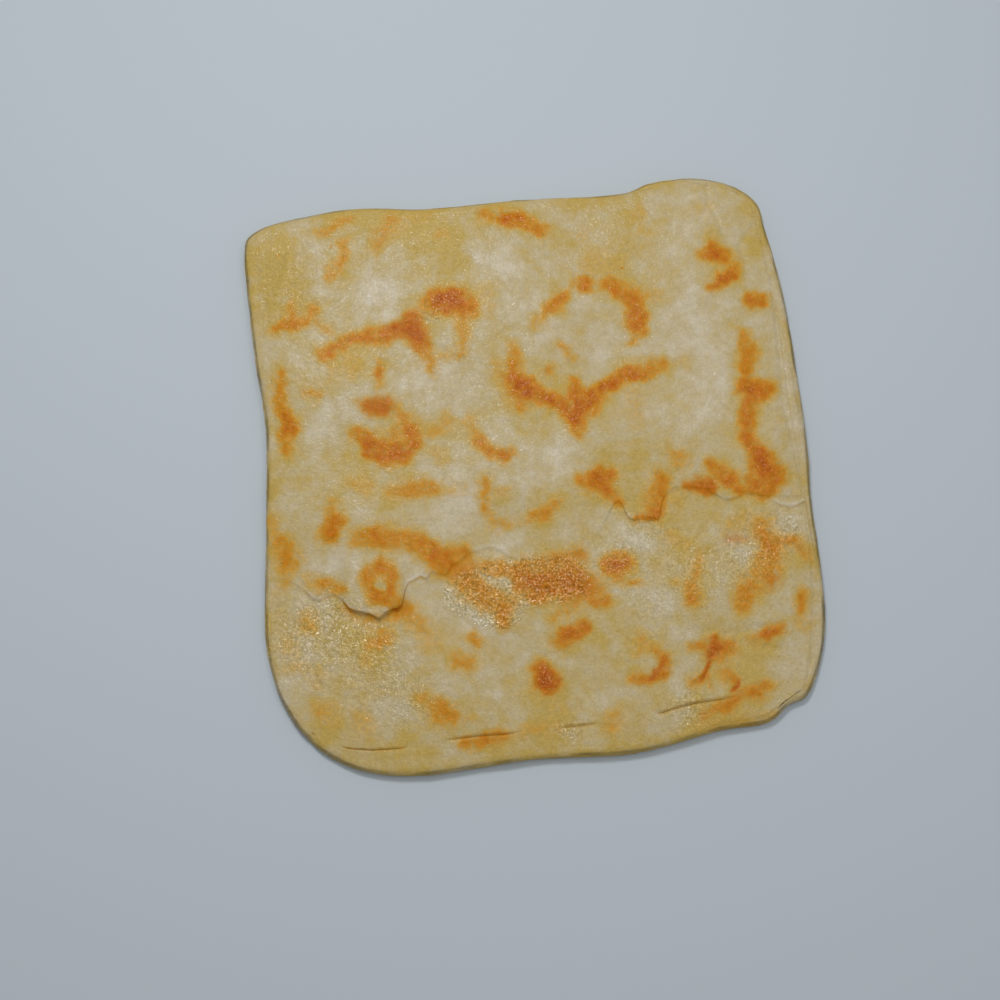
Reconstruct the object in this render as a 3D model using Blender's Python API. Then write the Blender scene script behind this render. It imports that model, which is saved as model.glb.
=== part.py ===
"""Msemen: one square, layered flatbread, cooked flat on a griddle.

The dough is stretched thin, folded in three across and in three again from front to
back, and pressed flat. The last fold comes over from the back edge and ends in a torn
flap that crosses the bread a little in front of its middle. On the right the topmost
ply stops short of the plies under it, and their fold edges show as grooves round the
left and right sides.

Units are metres. +Z is up, the back of the bread is at +Y, and the origin is at the
middle of the flat underside.
"""

import math

import bmesh
import bpy
import numpy as np

# Driving dimensions
BODY_THICKNESS = 0.0062      # the folded plies under the flap
FLAP_THICKNESS = 0.0013      # the last fold, which comes over from the back
TOP_PLY = 0.0009             # the topmost ply, which stops short on the right
RIM_WIDTH = 0.0030           # how far the rounded rim reaches in on top
RIM_UNDERCUT = 0.0024        # how far it reaches in underneath
RIM_WAIST = 0.45             # height of the widest line, as a share of the rim's height
EDGE_DROP = 0.0011           # the top sinks towards the rim by this much
EDGE_DROP_REACH = 0.0100
FOLD_GROOVE = 0.0008         # depth of the grooves between folds at the sides
GROOVE_WANDER = 0.25         # share by which that depth comes and goes along the side
GROOVE_PERIOD = 23           # outline points from one deep stretch to the next
GROOVE_FADES_AT = 0.55       # how squarely a side faces left or right where its grooves end

# The outline, seen from above. Each side starts on the corner where the last one ends.
LEFT_SIDE = [
    (-0.0790, -0.0975), (-0.0850, -0.0905), (-0.0910, -0.0785), (-0.0950, -0.0600),
    (-0.0955, -0.0200), (-0.0965, 0.0140), (-0.1010, 0.0400), (-0.1045, 0.0650),
    (-0.1060, 0.0810),
]
BACK_SIDE = [
    (-0.1035, 0.0880), (-0.0910, 0.0935), (-0.0650, 0.0985), (-0.0370, 0.0985),
    (-0.0030, 0.1020), (0.0320, 0.1040), (0.0450, 0.1085), (0.0610, 0.1105),
    (0.0760, 0.1075),
]
RIGHT_SIDE = [
    (0.0850, 0.1010), (0.0880, 0.0910), (0.0915, 0.0770), (0.0950, 0.0600),
    (0.0985, 0.0340), (0.1010, 0.0100), (0.1022, -0.0120), (0.1045, -0.0340),
    (0.1058, -0.0530), (0.1042, -0.0680),
]
FRONT_SIDE = [
    (0.0990, -0.0815), (0.0915, -0.0860), (0.0840, -0.0920), (0.0660, -0.0950),
    (0.0380, -0.1025), (0.0010, -0.1050), (-0.0380, -0.1105), (-0.0590, -0.1090),
    (-0.0715, -0.1035),
]

# The torn front edge of the flap, from left to right, and how high it stands there
FLAP_EDGE = [
    (-0.0950, -0.0397, 0.0005), (-0.0820, -0.0437, 0.0005), (-0.0750, -0.0475, 0.0009),
    (-0.0660, -0.0490, 0.0013), (-0.0600, -0.0533, 0.0020), (-0.0535, -0.0548, 0.0024),
    (-0.0450, -0.0495, 0.0022), (-0.0430, -0.0420, 0.0016), (-0.0355, -0.0385, 0.0014),
    (-0.0280, -0.0360, 0.0012), (-0.0190, -0.0310, 0.0010), (-0.0073, -0.0325, 0.0008),
    (0.0060, -0.0345, 0.0008), (0.0190, -0.0300, 0.0007), (0.0270, -0.0200, 0.0006),
    (0.0320, -0.0135, 0.0010), (0.0360, -0.0185, 0.0013), (0.0455, -0.0190, 0.0014),
    (0.0500, -0.0090, 0.0011), (0.0570, -0.0072, 0.0009), (0.0680, -0.0110, 0.0013),
    (0.0760, -0.0108, 0.0012), (0.0860, -0.0112, 0.0009), (0.1020, -0.0115, 0.0010),
]
FLAP_EDGE_HALF_WIDTH = 0.0003   # half of the step's width on the plan
FLAP_EDGE_PLACE = 0.35          # the edge lies about this share of the way to the back
FLAP_FADE = 0.030               # the flap thins out to its edge over this distance

# The right edge of the topmost ply: its distance from the outline, from the front
# corner (0) to the back corner (1), and the share of its thickness that steps down.
PLY_EDGE = [
    (0.00, 0.0040, 0.3), (0.06, 0.0062, 1.0), (0.14, 0.0068, 1.0), (0.25, 0.0052, 0.7),
    (0.36, 0.0040, 0.1), (0.43, 0.0050, 0.4), (0.50, 0.0085, 1.0), (0.58, 0.0105, 1.0),
    (0.70, 0.0080, 1.0), (0.84, 0.0056, 0.8), (1.00, 0.0040, 0.3),
]
PLY_EDGE_HALF_WIDTH = 0.0003

# Blisters and hollows of the top: x, y, radius, height
BLISTERS = [
    (0.0255, 0.0450, 0.0150, -0.0006), (0.0740, 0.0700, 0.0110, 0.0005),
    (-0.0500, 0.0270, 0.0170, 0.0006), (-0.0170, 0.0560, 0.0140, 0.0006),
    (-0.0530, -0.0430, 0.0110, 0.0007), (-0.0720, 0.0560, 0.0180, 0.0005),
    (0.0250, 0.0180, 0.0130, 0.0006), (0.0820, 0.0030, 0.0120, 0.0006),
    (0.0000, -0.0450, 0.0200, 0.0007), (0.0730, -0.0420, 0.0180, 0.0007),
    (0.0520, -0.0640, 0.0140, 0.0005), (-0.0620, -0.0720, 0.0190, -0.0005),
    (0.0060, -0.0780, 0.0120, 0.0005), (-0.0250, -0.0850, 0.0150, 0.0004),
    (-0.0850, 0.0100, 0.0120, 0.0004), (0.0640, 0.0960, 0.0130, 0.0006),
]
BLISTER_STEEPNESS = 1.4   # the fall of a blister's side: a blister all but ends at its radius
WAVES = [  # length, direction in degrees, start, height: the slow undulation of the top
    (0.071, 20, 0.4, 0.00032), (0.053, 105, 1.9, 0.00028), (0.037, 62, 3.1, 0.00016),
    (0.029, 150, 5.0, 0.00012),
]

# Counts of the grid that is shaped into the top, and of the rings of the rim
COLUMNS = 52
ROWS = 54
PLY_COLUMN = 48      # the column that follows the topmost ply's right edge
FLAP_ROW = 18        # the row that follows the flap's torn edge
RIM_ANGLES = [62, 34, 8, -18, -42, -66, -90]   # degrees above the widest line
GROOVE_ANGLES = (8, -42)   # those of the rings that the fold grooves follow
CURVE_STEPS = 24     # points of the smooth outline between two of its given points

DOUGH_COLOUR = (0.50, 0.38, 0.19, 1.0)
DOUGH_ROUGHNESS = 0.5


def smooth_loop(points):
    """A closed smooth curve through the points, CURVE_STEPS points to each span."""
    given = np.array(points, float)
    before, after = np.roll(given, 1, 0), np.roll(given, -1, 0)
    after_next = np.roll(given, -2, 0)
    steps = np.arange(CURVE_STEPS)[:, None, None] / CURVE_STEPS
    curve = (
        given
        + 0.5 * steps * (after - before)
        + 0.5 * steps**2 * (2 * before - 5 * given + 4 * after - after_next)
        + 0.5 * steps**3 * (3 * given - before - 3 * after + after_next)
    )
    return curve.transpose(1, 0, 2).reshape(-1, 2)


def even_points(path, count):
    """count + 1 points spaced evenly along a path."""
    lengths = np.hypot(*np.diff(path, axis=0).T)
    along = np.concatenate([[0], np.cumsum(lengths)])
    wanted = np.linspace(0, along[-1], count + 1)
    return np.stack([np.interp(wanted, along, path[:, k]) for k in (0, 1)], 1)


def outline_sides():
    """The four sides as even points: left and right run to the back, front and back to the right."""
    sides = [LEFT_SIDE, BACK_SIDE, RIGHT_SIDE, FRONT_SIDE]
    loop = smooth_loop([point for side in sides for point in side])
    loop = np.concatenate([loop, loop[:1]])
    starts = np.cumsum([0] + [len(side) * CURVE_STEPS for side in sides])
    left, back, right, front = (
        loop[starts[k] : starts[k + 1] + 1] for k in range(len(sides))
    )
    return (
        even_points(left, ROWS),
        even_points(back, COLUMNS),
        even_points(right[::-1], ROWS),
        even_points(front[::-1], COLUMNS),
    )


def as_loop(left, back, right, front):
    """The sides joined into one loop: along the front, up the right, and home again."""
    return np.concatenate([front[:-1], right[:-1], back[:0:-1], left[:0:-1]])


def loop_cells():
    """The (column, row) of each point of the loop, in the same order."""
    return (
        [(i, 0) for i in range(COLUMNS)]
        + [(COLUMNS, j) for j in range(ROWS)]
        + [(i, ROWS) for i in range(COLUMNS, 0, -1)]
        + [(0, j) for j in range(ROWS, 0, -1)]
    )


def outward(loop):
    """Unit vectors that point out of a loop that runs anticlockwise."""
    along = np.roll(loop, -1, 0) - np.roll(loop, 1, 0)
    along /= np.hypot(*along.T)[:, None]
    return np.stack([along[:, 1], -along[:, 0]], 1)


def sides_of(loop):
    """The loop split into its sides again, as outline_sides gives them."""
    ends = np.cumsum([0, COLUMNS, ROWS, COLUMNS, ROWS])
    closed = np.concatenate([loop, loop[:1]])
    front, right, back, left = (closed[ends[k] : ends[k + 1] + 1] for k in range(4))
    return left[::-1], back[::-1], right, front


def patch_point(sides, u, v):
    """Points of the smooth patch spanned by the sides. u runs to the right, v to the back."""
    left, back, right, front = sides

    def at(side, share):
        place = np.clip(share, 0, 1) * (len(side) - 1)
        return np.stack(
            [np.interp(place, range(len(side)), side[:, k]) for k in (0, 1)], -1
        )

    u1, v1 = u[..., None], v[..., None]
    across = (1 - u1) * at(left, v) + u1 * at(right, v)
    along = (1 - v1) * at(front, u) + v1 * at(back, u)
    corners = (
        (1 - u1) * (1 - v1) * front[0]
        + u1 * (1 - v1) * front[-1]
        + (1 - u1) * v1 * back[0]
        + u1 * v1 * back[-1]
    )
    return across + along - corners


def split_shares(count, split, place, half_width):
    """Shares from 0 to 1 for count + 1 lines, with lines split and split + 1 at place -+ half_width."""
    low, high = place - half_width, place + half_width
    before = np.arange(split + 1) / split
    after = np.arange(count - split) / (count - split - 1)
    return np.concatenate(
        [before * low[..., None], high[..., None] + after * (1 - high)[..., None]], -1
    )


def table_at(table, column, places):
    """The value of a table's column at places along its first column."""
    rows = np.array(table)
    return np.interp(places, rows[:, 0], rows[:, column])


def grid_shares(sides):
    """The patch coordinates u and v of every grid point, bent to follow the flap and the ply."""
    left, back, right, front = sides
    width = right[:, 0] - left[:, 0]
    depth = back[:, 1] - front[:, 1]
    v_even = np.linspace(0, 1, ROWS + 1)
    ply = 1 - (table_at(PLY_EDGE, 1, v_even) - RIM_WIDTH) / width
    u = split_shares(COLUMNS, PLY_COLUMN, ply, PLY_EDGE_HALF_WIDTH / width)
    flap_x = front[:, 0] + (back[:, 0] - front[:, 0]) * FLAP_EDGE_PLACE
    flap = (table_at(FLAP_EDGE, 1, flap_x) - front[:, 1]) / depth
    v = split_shares(ROWS, FLAP_ROW, flap, FLAP_EDGE_HALF_WIDTH / depth)
    return u, v.T


def smooth_step(share):
    """Eases a share from 0 to 1, level at both ends."""
    share = np.clip(share, 0, 1)
    return share * share * (3 - 2 * share)


def edge_distance(points, loop):
    """How far each point is from the loop."""
    return np.array([np.hypot(*(loop - point).T).min() for point in points])


def undulation(x, y):
    """Blisters, hollows and slow waves of the top."""
    height = np.zeros_like(x)
    for middle_x, middle_y, radius, rise in BLISTERS:
        share = ((x - middle_x) ** 2 + (y - middle_y) ** 2) / radius**2
        height += rise * np.exp(-share * BLISTER_STEEPNESS)
    for length, degrees, start, rise in WAVES:
        turn = math.radians(degrees)
        way = x * math.cos(turn) + y * math.sin(turn)
        height += rise * np.sin(math.tau * way / length + start)
    return height


def top_heights(plan, v_shares, loop):
    """Height of each grid point of the top."""
    x, y = plan[..., 0], plan[..., 1]
    distance = edge_distance(plan.reshape(-1, 2), loop).reshape(x.shape)
    height = BODY_THICKNESS + undulation(x, y)
    height -= EDGE_DROP * np.exp(-((distance / EDGE_DROP_REACH) ** 2))

    rows = np.arange(ROWS + 1)[:, None]
    lip = table_at(FLAP_EDGE, 2, x[FLAP_ROW])
    flap = lip + (FLAP_THICKNESS - lip) * smooth_step((y - y[FLAP_ROW + 1]) / FLAP_FADE)
    height += np.where(rows > FLAP_ROW, flap, 0)

    columns = np.arange(COLUMNS + 1)[None, :]
    share = table_at(PLY_EDGE, 2, v_shares)
    height -= np.where(columns > PLY_COLUMN, TOP_PLY * share, 0)
    return height


def grooves(loop):
    """How strongly the fold grooves show at each point of the loop: at the sides only."""
    facing = np.abs(outward(loop)[:, 0])
    swing = np.sin(np.arange(len(loop)) * math.tau / GROOVE_PERIOD)
    fade = (facing - GROOVE_FADES_AT) / (1 - GROOVE_FADES_AT)
    return np.clip(fade, 0, 1) * (1 - GROOVE_WANDER + GROOVE_WANDER * swing)


def rim_ring(angle, loop, heights):
    """One ring of the rim: its points at this angle above the widest line."""
    turn = math.radians(angle)
    reach = RIM_WIDTH if angle > 0 else RIM_UNDERCUT
    inset = np.full(len(loop), reach * (1 - math.cos(turn)))
    if angle in GROOVE_ANGLES:
        inset += FOLD_GROOVE * grooves(loop)
    waist = heights * RIM_WAIST
    rise = heights - waist if angle > 0 else waist
    plan = loop - outward(loop) * inset[:, None]
    return np.column_stack([plan, waist + rise * math.sin(turn)])


def shape_top(bm, top):
    """Moves the vertices of a flat square grid onto the top, and numbers those of its border."""
    number = bm.verts.layers.int.new("border")
    border = {cell: k for k, cell in enumerate(loop_cells())}
    for vert in bm.verts:
        column = round((vert.co.x + 1) / 2 * COLUMNS)
        row = round((vert.co.y + 1) / 2 * ROWS)
        vert.co = top[row, column]
        vert[number] = border.get((column, row), -1)
    return number


def add_rim(bm, number, rings):
    """Extrudes the border down round the rim, one ring at a time, and closes the underside."""
    edges = [edge for edge in bm.edges if edge.is_boundary]
    for ring in rings:
        made = bmesh.ops.extrude_edge_only(bm, edges=edges)["geom"]
        for vert in (item for item in made if isinstance(item, bmesh.types.BMVert)):
            vert.co = ring[vert[number]]
        edges = [item for item in made if isinstance(item, bmesh.types.BMEdge)]
    bmesh.ops.contextual_create(bm, geom=edges)
    bmesh.ops.recalc_face_normals(bm, faces=bm.faces[:])


def centre_on_origin(mesh):
    """Moves the mesh so that the middle of its box stands over the origin."""
    places = np.array([vert.co for vert in mesh.vertices])
    middle = (places.min(0) + places.max(0)) / 2
    for vert in mesh.vertices:
        vert.co.x -= middle[0]
        vert.co.y -= middle[1]


def dough_material():
    """Pale fried dough, a little oily."""
    material = bpy.data.materials.new("fried_dough")
    material.use_nodes = True
    shader = material.node_tree.nodes["Principled BSDF"]
    shader.inputs["Base Color"].default_value = DOUGH_COLOUR
    shader.inputs["Roughness"].default_value = DOUGH_ROUGHNESS
    shader.inputs["Metallic"].default_value = 0.0
    return material


def make_msemen():
    """The whole bread, as one closed solid."""
    outer = as_loop(*outline_sides())
    inner = outer - outward(outer) * RIM_WIDTH
    sides = sides_of(inner)
    u, v = grid_shares(sides)
    plan = patch_point(sides, u, v)
    heights = top_heights(plan, v, outer)
    top = np.dstack([plan, heights])
    border_heights = np.array([heights[row, column] for column, row in loop_cells()])

    bm = bmesh.new()
    bmesh.ops.create_grid(bm, x_segments=COLUMNS, y_segments=ROWS, size=1)
    number = shape_top(bm, top)
    add_rim(bm, number, [rim_ring(a, outer, border_heights) for a in RIM_ANGLES])

    mesh = bpy.data.meshes.new("msemen")
    bm.to_mesh(mesh)
    bm.free()
    centre_on_origin(mesh)
    mesh.materials.append(dough_material())
    mesh.shade_smooth()
    bread = bpy.data.objects.new("msemen", mesh)
    bpy.context.scene.collection.objects.link(bread)
    return bread


def main():
    for old in list(bpy.data.objects):
        bpy.data.objects.remove(old)
    make_msemen()


main()
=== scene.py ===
"""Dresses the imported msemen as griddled, layered dough and sets it on a plain stage.

The file is laid out as an add-on and is run as a script. Lengths in the tables are
millimetres, x to the right and y to the back, from the middle of the bread; everything
handed to Blender is metres. +Z is up and the bread rests on z = 0.
"""

import math
from functools import partial

import bpy
import numpy as np
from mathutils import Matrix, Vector, kdtree, noise


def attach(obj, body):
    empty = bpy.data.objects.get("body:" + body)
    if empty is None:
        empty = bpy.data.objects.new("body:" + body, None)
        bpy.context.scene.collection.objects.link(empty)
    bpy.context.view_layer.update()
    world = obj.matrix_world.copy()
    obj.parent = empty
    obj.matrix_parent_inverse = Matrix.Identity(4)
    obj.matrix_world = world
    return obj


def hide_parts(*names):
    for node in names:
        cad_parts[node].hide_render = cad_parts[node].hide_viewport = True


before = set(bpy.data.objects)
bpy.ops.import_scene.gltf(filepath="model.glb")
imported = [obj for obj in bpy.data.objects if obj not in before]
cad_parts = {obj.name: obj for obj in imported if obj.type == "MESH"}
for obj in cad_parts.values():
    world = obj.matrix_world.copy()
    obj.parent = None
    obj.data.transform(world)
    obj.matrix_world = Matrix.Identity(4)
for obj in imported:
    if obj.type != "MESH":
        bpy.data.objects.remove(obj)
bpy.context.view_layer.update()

bl_info = {
    "name": "Msemen dresser",
    "version": (1, 0, 0),
    "blender": (4, 5, 0),
    "location": "3D View > Sidebar > Msemen",
    "description": "Models a griddled msemen with its torn flap, plies and browned spots",
    "category": "Add Mesh",
}

MM = 0.001
NODE = "msemen"

# The outline, seen from above. Each side starts on the corner where the last one ends.
LEFT_SIDE = [
    (-79.0, -97.5), (-85.0, -90.5), (-91.0, -78.5), (-95.0, -60.0), (-95.5, -20.0),
    (-96.5, 14.0), (-101.0, 40.0), (-104.5, 65.0), (-106.0, 81.0),
]
BACK_SIDE = [
    (-103.5, 88.0), (-91.0, 93.5), (-65.0, 98.5), (-37.0, 98.5), (-3.0, 102.0),
    (32.0, 104.0), (45.0, 108.5), (61.0, 110.5), (76.0, 107.5),
]
RIGHT_SIDE = [
    (85.0, 101.0), (88.0, 91.0), (91.5, 77.0), (95.0, 60.0), (98.5, 34.0),
    (101.0, 10.0), (102.2, -12.0), (104.5, -34.0), (105.8, -53.0), (104.2, -68.0),
]
FRONT_SIDE = [
    (99.0, -81.5), (91.5, -86.0), (84.0, -92.0), (66.0, -95.0), (38.0, -102.5),
    (1.0, -105.0), (-38.0, -110.5), (-59.0, -109.0), (-71.5, -103.5),
]

# The torn front edge of the flap, from left to right: x, y and how high its lip stands
TEAR = [
    (-96, -39.5, 0.1), (-92.5, -40.5, 0.2), (-88, -41.5, 0.3), (-85, -42.5, 0.35),
    (-81, -44.5, 0.5), (-78, -47.5, 0.8), (-76, -49, 0.9), (-73.5, -47.5, 0.6),
    (-71, -47, 0.7), (-68, -47.5, 1.0), (-66.5, -49, 1.6), (-64.5, -52, 2.3),
    (-62.5, -52.5, 2.4), (-60, -53, 2.4), (-56.5, -54, 2.5), (-53.5, -55, 2.5),
    (-52, -53, 2.4), (-49.5, -52, 2.2), (-47.5, -51.5, 2.2), (-45.5, -50, 2.2),
    (-45.2, -47.5, 1.7), (-44.8, -44.5, 1.2), (-43.5, -42, 0.9), (-41, -41, 0.8),
    (-39, -40, 0.9), (-38, -41, 0.9), (-36.5, -40.5, 0.9), (-35.5, -38, 0.8),
    (-33.5, -39, 0.8), (-30, -39.5, 0.9), (-28, -36.5, 0.8), (-25, -34.5, 0.7),
    (-23, -32, 0.6), (-18.5, -30.5, 0.5), (-12.5, -29.5, 0.4), (-7.5, -33, 0.4),
    (0, -34.5, 0.35), (6, -34.5, 0.5), (14, -32, 0.6), (19, -30.5, 0.4),
    (23, -26, 0.2), (27, -20, 0.25), (29.5, -14.5, 0.5), (32, -12, 0.8),
    (34, -15.5, 1.0), (35, -18.5, 1.1), (37.5, -19.5, 1.1), (43.5, -18.5, 1.2),
    (46.5, -19, 1.1), (47, -15, 0.9), (48, -11.5, 0.7), (49.5, -9, 0.45),
    (52.5, -7.5, 0.35), (57, -7.5, 0.4), (61.5, -8, 0.5), (64.5, -9, 0.7),
    (67.5, -10.5, 0.95), (70.5, -12, 1.1), (74, -11.5, 1.0), (76, -11, 0.7),
    (80.5, -9.5, 0.45), (85.5, -11, 0.4), (88.5, -13, 0.5), (91, -14.5, 0.9),
    (94, -14.5, 1.0), (97, -14, 1.0), (100.5, -12, 0.9), (102, -11, 0.8),
]
LIP_SKIN = 0.45      # thickness of the torn leaf of dough
LIP_SKIN_SHARE = 0.75      # which is at most this share of its lip's height
LIP_ROUNDING = 0.25  # the top of the lip is rounded down by this share of the leaf
LIP_JAG = 0.35       # how unevenly the lip stands
LIP_LIES = 1.3       # a lip up to this high lies on the dough, and a higher one is lifted
LIP_TUCK = 0.3       # how far the dough runs under it, for each unit that it is lifted
LIP_HANG = 0.3       # the underside of the lip draws back by this share of that
LIP_SLOPE = 1.4      # width of the slope down from the lowest lip
LIP_SINK = 0.25      # the whole lip lies this much lower than its heights above
FLAP_FADE = 30.0     # behind its edge the flap settles to its own thickness over this
TORN_PALENESS = 0.6  # the thin torn edge is paler than the skin
CREVICE_PAINTED_SHADE = 0.6     # how strongly brown is painted in the crevice under the torn edge, as painted shade
# The pale band and the painted shade of the crevice: how far behind the edge, half width,
# and the height of the lip from which they show in full
TORN_BAND = (0.6, 0.9, 0.8)
CREVICE_BAND = (-0.15, 0.45, 1.8)
CREVICE_PATCHES = (0.6, 4.0)   # mean strength of the crevice's painted shade, size of a patch
TEAR_JAG = 0.5       # how far the tear wanders from its line, every few millimetres
# Lines of the mesh across the torn edge, as distances behind it: a line in front of the
# edge, its foot, the underside of its lip, the top of the lip and the skin behind
TEAR_LINES = (-2.0, -0.30, -0.12, 0.14, 0.7)

# The thin splits along the front: x, y and how deep the split is open there
SPLITS = [
    (-76, -97, 0.0), (-67, -100.3, 0.0), (-64, -101, 1.8), (-56, -101.5, 2.4),
    (-47, -101, 1.8), (-43, -100.5, 0.0), (-29, -98, 0.0), (-26, -97.5, 1.8),
    (-18, -96.5, 2.2), (-9, -96, 1.6), (-4, -95.5, 0.0), (10, -93.8, 0.0),
    (13, -93.5, 1.3), (20, -92.7, 1.3), (24, -92.2, 0.0), (44, -89, 0.0),
    (47, -88.3, 1.8), (52.5, -86.5, 2.2), (59, -85, 2.2), (68, -83.7, 1.8),
    (73, -82.7, 0.0), (90, -78, 0.0),
]
SPLIT_HALF_WIDTH = 0.32
SPLIT_PAINTED_SHADE = 0.22   # how strongly brown is painted in them, as painted shade
SPLIT_SHADE_BAND = 0.55    # half width of that painted shade
SPLIT_LIMITS = (0.02, 0.09)    # the splits lie between these shares of the way back

# The right edge of the topmost ply: its distance from the outline, from the front
# corner (0) to the back corner (1), and the share of its thickness that steps down
PLY_EDGE = [
    (0.00, 4.0, 0.3), (0.06, 6.2, 1.0), (0.14, 6.8, 1.0), (0.25, 5.2, 0.7),
    (0.36, 4.0, 0.1), (0.43, 5.0, 0.4), (0.50, 8.5, 1.0), (0.58, 10.5, 1.0),
    (0.70, 8.0, 1.0), (0.84, 5.6, 0.8), (1.00, 4.0, 0.3),
]
PLY_HALF_WIDTH = 0.8      # half the width of that step
PLY_HALF_SHARE = 0.3      # which is at most this share of the strip beside it
PLY_NARROWEST = 0.9       # the strip is never narrower than this
PLY_JAG = 0.3             # how far the edge wanders from its line
PLY_SIDE = 200.0          # about the length of the edge
PLY_GROOVE = 0.25         # depth of the groove between the next two plies, down the strip
GROOVE_HALF_WIDTH = 0.1   # half its width
GROOVE_HALF_SHARE = 0.05  # and this share of the strip added to that

# Blisters and hollows of the top: x, y, radius, height
BLISTERS = [
    (25.5, 45.0, 15.0, -0.6), (74.0, 70.0, 11.0, 0.5), (-50.0, 27.0, 17.0, 0.6),
    (-17.0, 56.0, 14.0, 0.6), (-53.0, -43.0, 11.0, 0.7), (-72.0, 56.0, 18.0, 0.5),
    (25.0, 18.0, 13.0, 0.6), (82.0, 3.0, 12.0, 0.6), (0.0, -45.0, 20.0, 0.7),
    (73.0, -42.0, 18.0, 0.7), (52.0, -64.0, 14.0, 0.5), (-62.0, -72.0, 19.0, -0.5),
    (6.0, -78.0, 12.0, 0.5), (-25.0, -85.0, 15.0, 0.4), (-85.0, 10.0, 12.0, 0.4),
    (64.0, 96.0, 13.0, 0.6),
    (-53.4, -42.6, 2.1, 0.6), (-76.5, -46.5, 1.8, 0.9), (-38.0, 57.0, 3.0, 0.4),
    (-33.0, 53.0, 2.4, 0.35), (93.0, -21.0, 3.0, 0.4),
    (-39.0, -48.5, 5.0, -0.5), (-35.0, -43.5, 4.5, -0.4), (-31.0, -61.0, 6.0, -0.25),
    (66.0, -64.5, 3.5, 0.3), (-74.0, -77.0, 2.2, 0.35), (52.0, -17.0, 4.0, 0.25),
]
BLISTER_STEEPNESS = 1.4   # a blister all but ends at its radius
WAVES = [  # length, direction in degrees, start, height: the slow undulation of the top
    (71, 20, 0.4, 0.32), (53, 105, 1.9, 0.28), (37, 62, 3.1, 0.16), (29, 150, 5.0, 0.12),
]
# Soft creases of the top: depth, half width and the points they run through
CREASES = [
    (1.20, 2.2, [(-65, -53.5), (-61, -55.6), (-54, -57.6), (-48, -54.6), (-44.5, -51.5)]),
    (0.60, 0.8, [(66, 108), (66.5, 100), (69.5, 94), (72, 88)]),
    (0.45, 0.8, [(44.5, -53.5), (50, -55.5), (55.5, -56)]),
    (0.55, 0.8, [(67, -61.5), (72, -60), (80, -58.5), (90, -57)]),
    (0.50, 0.7, [(76, -63), (82, -65.5), (88, -66)]),
    (0.55, 0.6, [(-77, -73.5), (-76.3, -76.5), (-74, -79.5)]),
    (0.40, 0.6, [(-79.5, -72), (-79, -76), (-77, -80)]),
    (0.30, 0.9, [(30, -8), (33, -12), (36, -13)]),
    (0.35, 0.9, [(-40, 46), (-33, 44), (-27, 40), (-26, 34)]),
    (0.35, 1.1, [(-98, 60), (-90, 78), (-78, 86), (-60, 90)]),
    (0.40, 1.0, [(84, 92), (78, 84), (80, 72)]),
    (0.60, 0.5, [(64.5, -71), (63, -74.6), (60.3, -77.2), (56.5, -79.5)]),
    (0.55, 0.5, [(72.3, -75.5), (73.3, -79), (71.3, -81)]),
    (0.40, 0.5, [(63, -63.5), (66, -66), (65, -69)]),
    (0.55, 0.5, [(47, -71.5), (44, -73), (43, -76)]),
    (0.40, 0.6, [(-46, -55), (-38, -60), (-33, -66), (-30, -73)]),
    (0.35, 0.6, [(32, -61), (38, -66), (43, -63)]),
    (0.40, 0.7, [(54, -58), (62, -60), (68, -58)]),
    (0.30, 0.7, [(2, -70), (10, -67), (17, -70)]),
    (0.60, 0.5, [(76.6, -9.9), (84.2, -11.4), (91.7, -11.6), (101.5, -11.1)]),
    (0.35, 0.5, [(86, -18), (91, -20), (94, -25)]),
    (0.30, 0.4, [(89, -17), (90, -24), (88, -29)]),
    (0.35, 0.4, [(95, -18), (93, -22), (96, -26)]),
]
EDGE_DROP = 1.1            # the top sinks towards the rim by this much
EDGE_DROP_REACH = 10.0

# The dry browned crust in front of the tear, as strokes: x, y, radius
CRUST = [
    [(-23.5, -46.5, 7.5), (-12, -43, 9), (0, -42, 9), (13, -41, 8)],
    [(-17, -52, 6), (-9, -53, 6)],
]
CRUST_HEIGHT = 0.3
CRUST_EDGE = 2.4     # width of its edge
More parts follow.
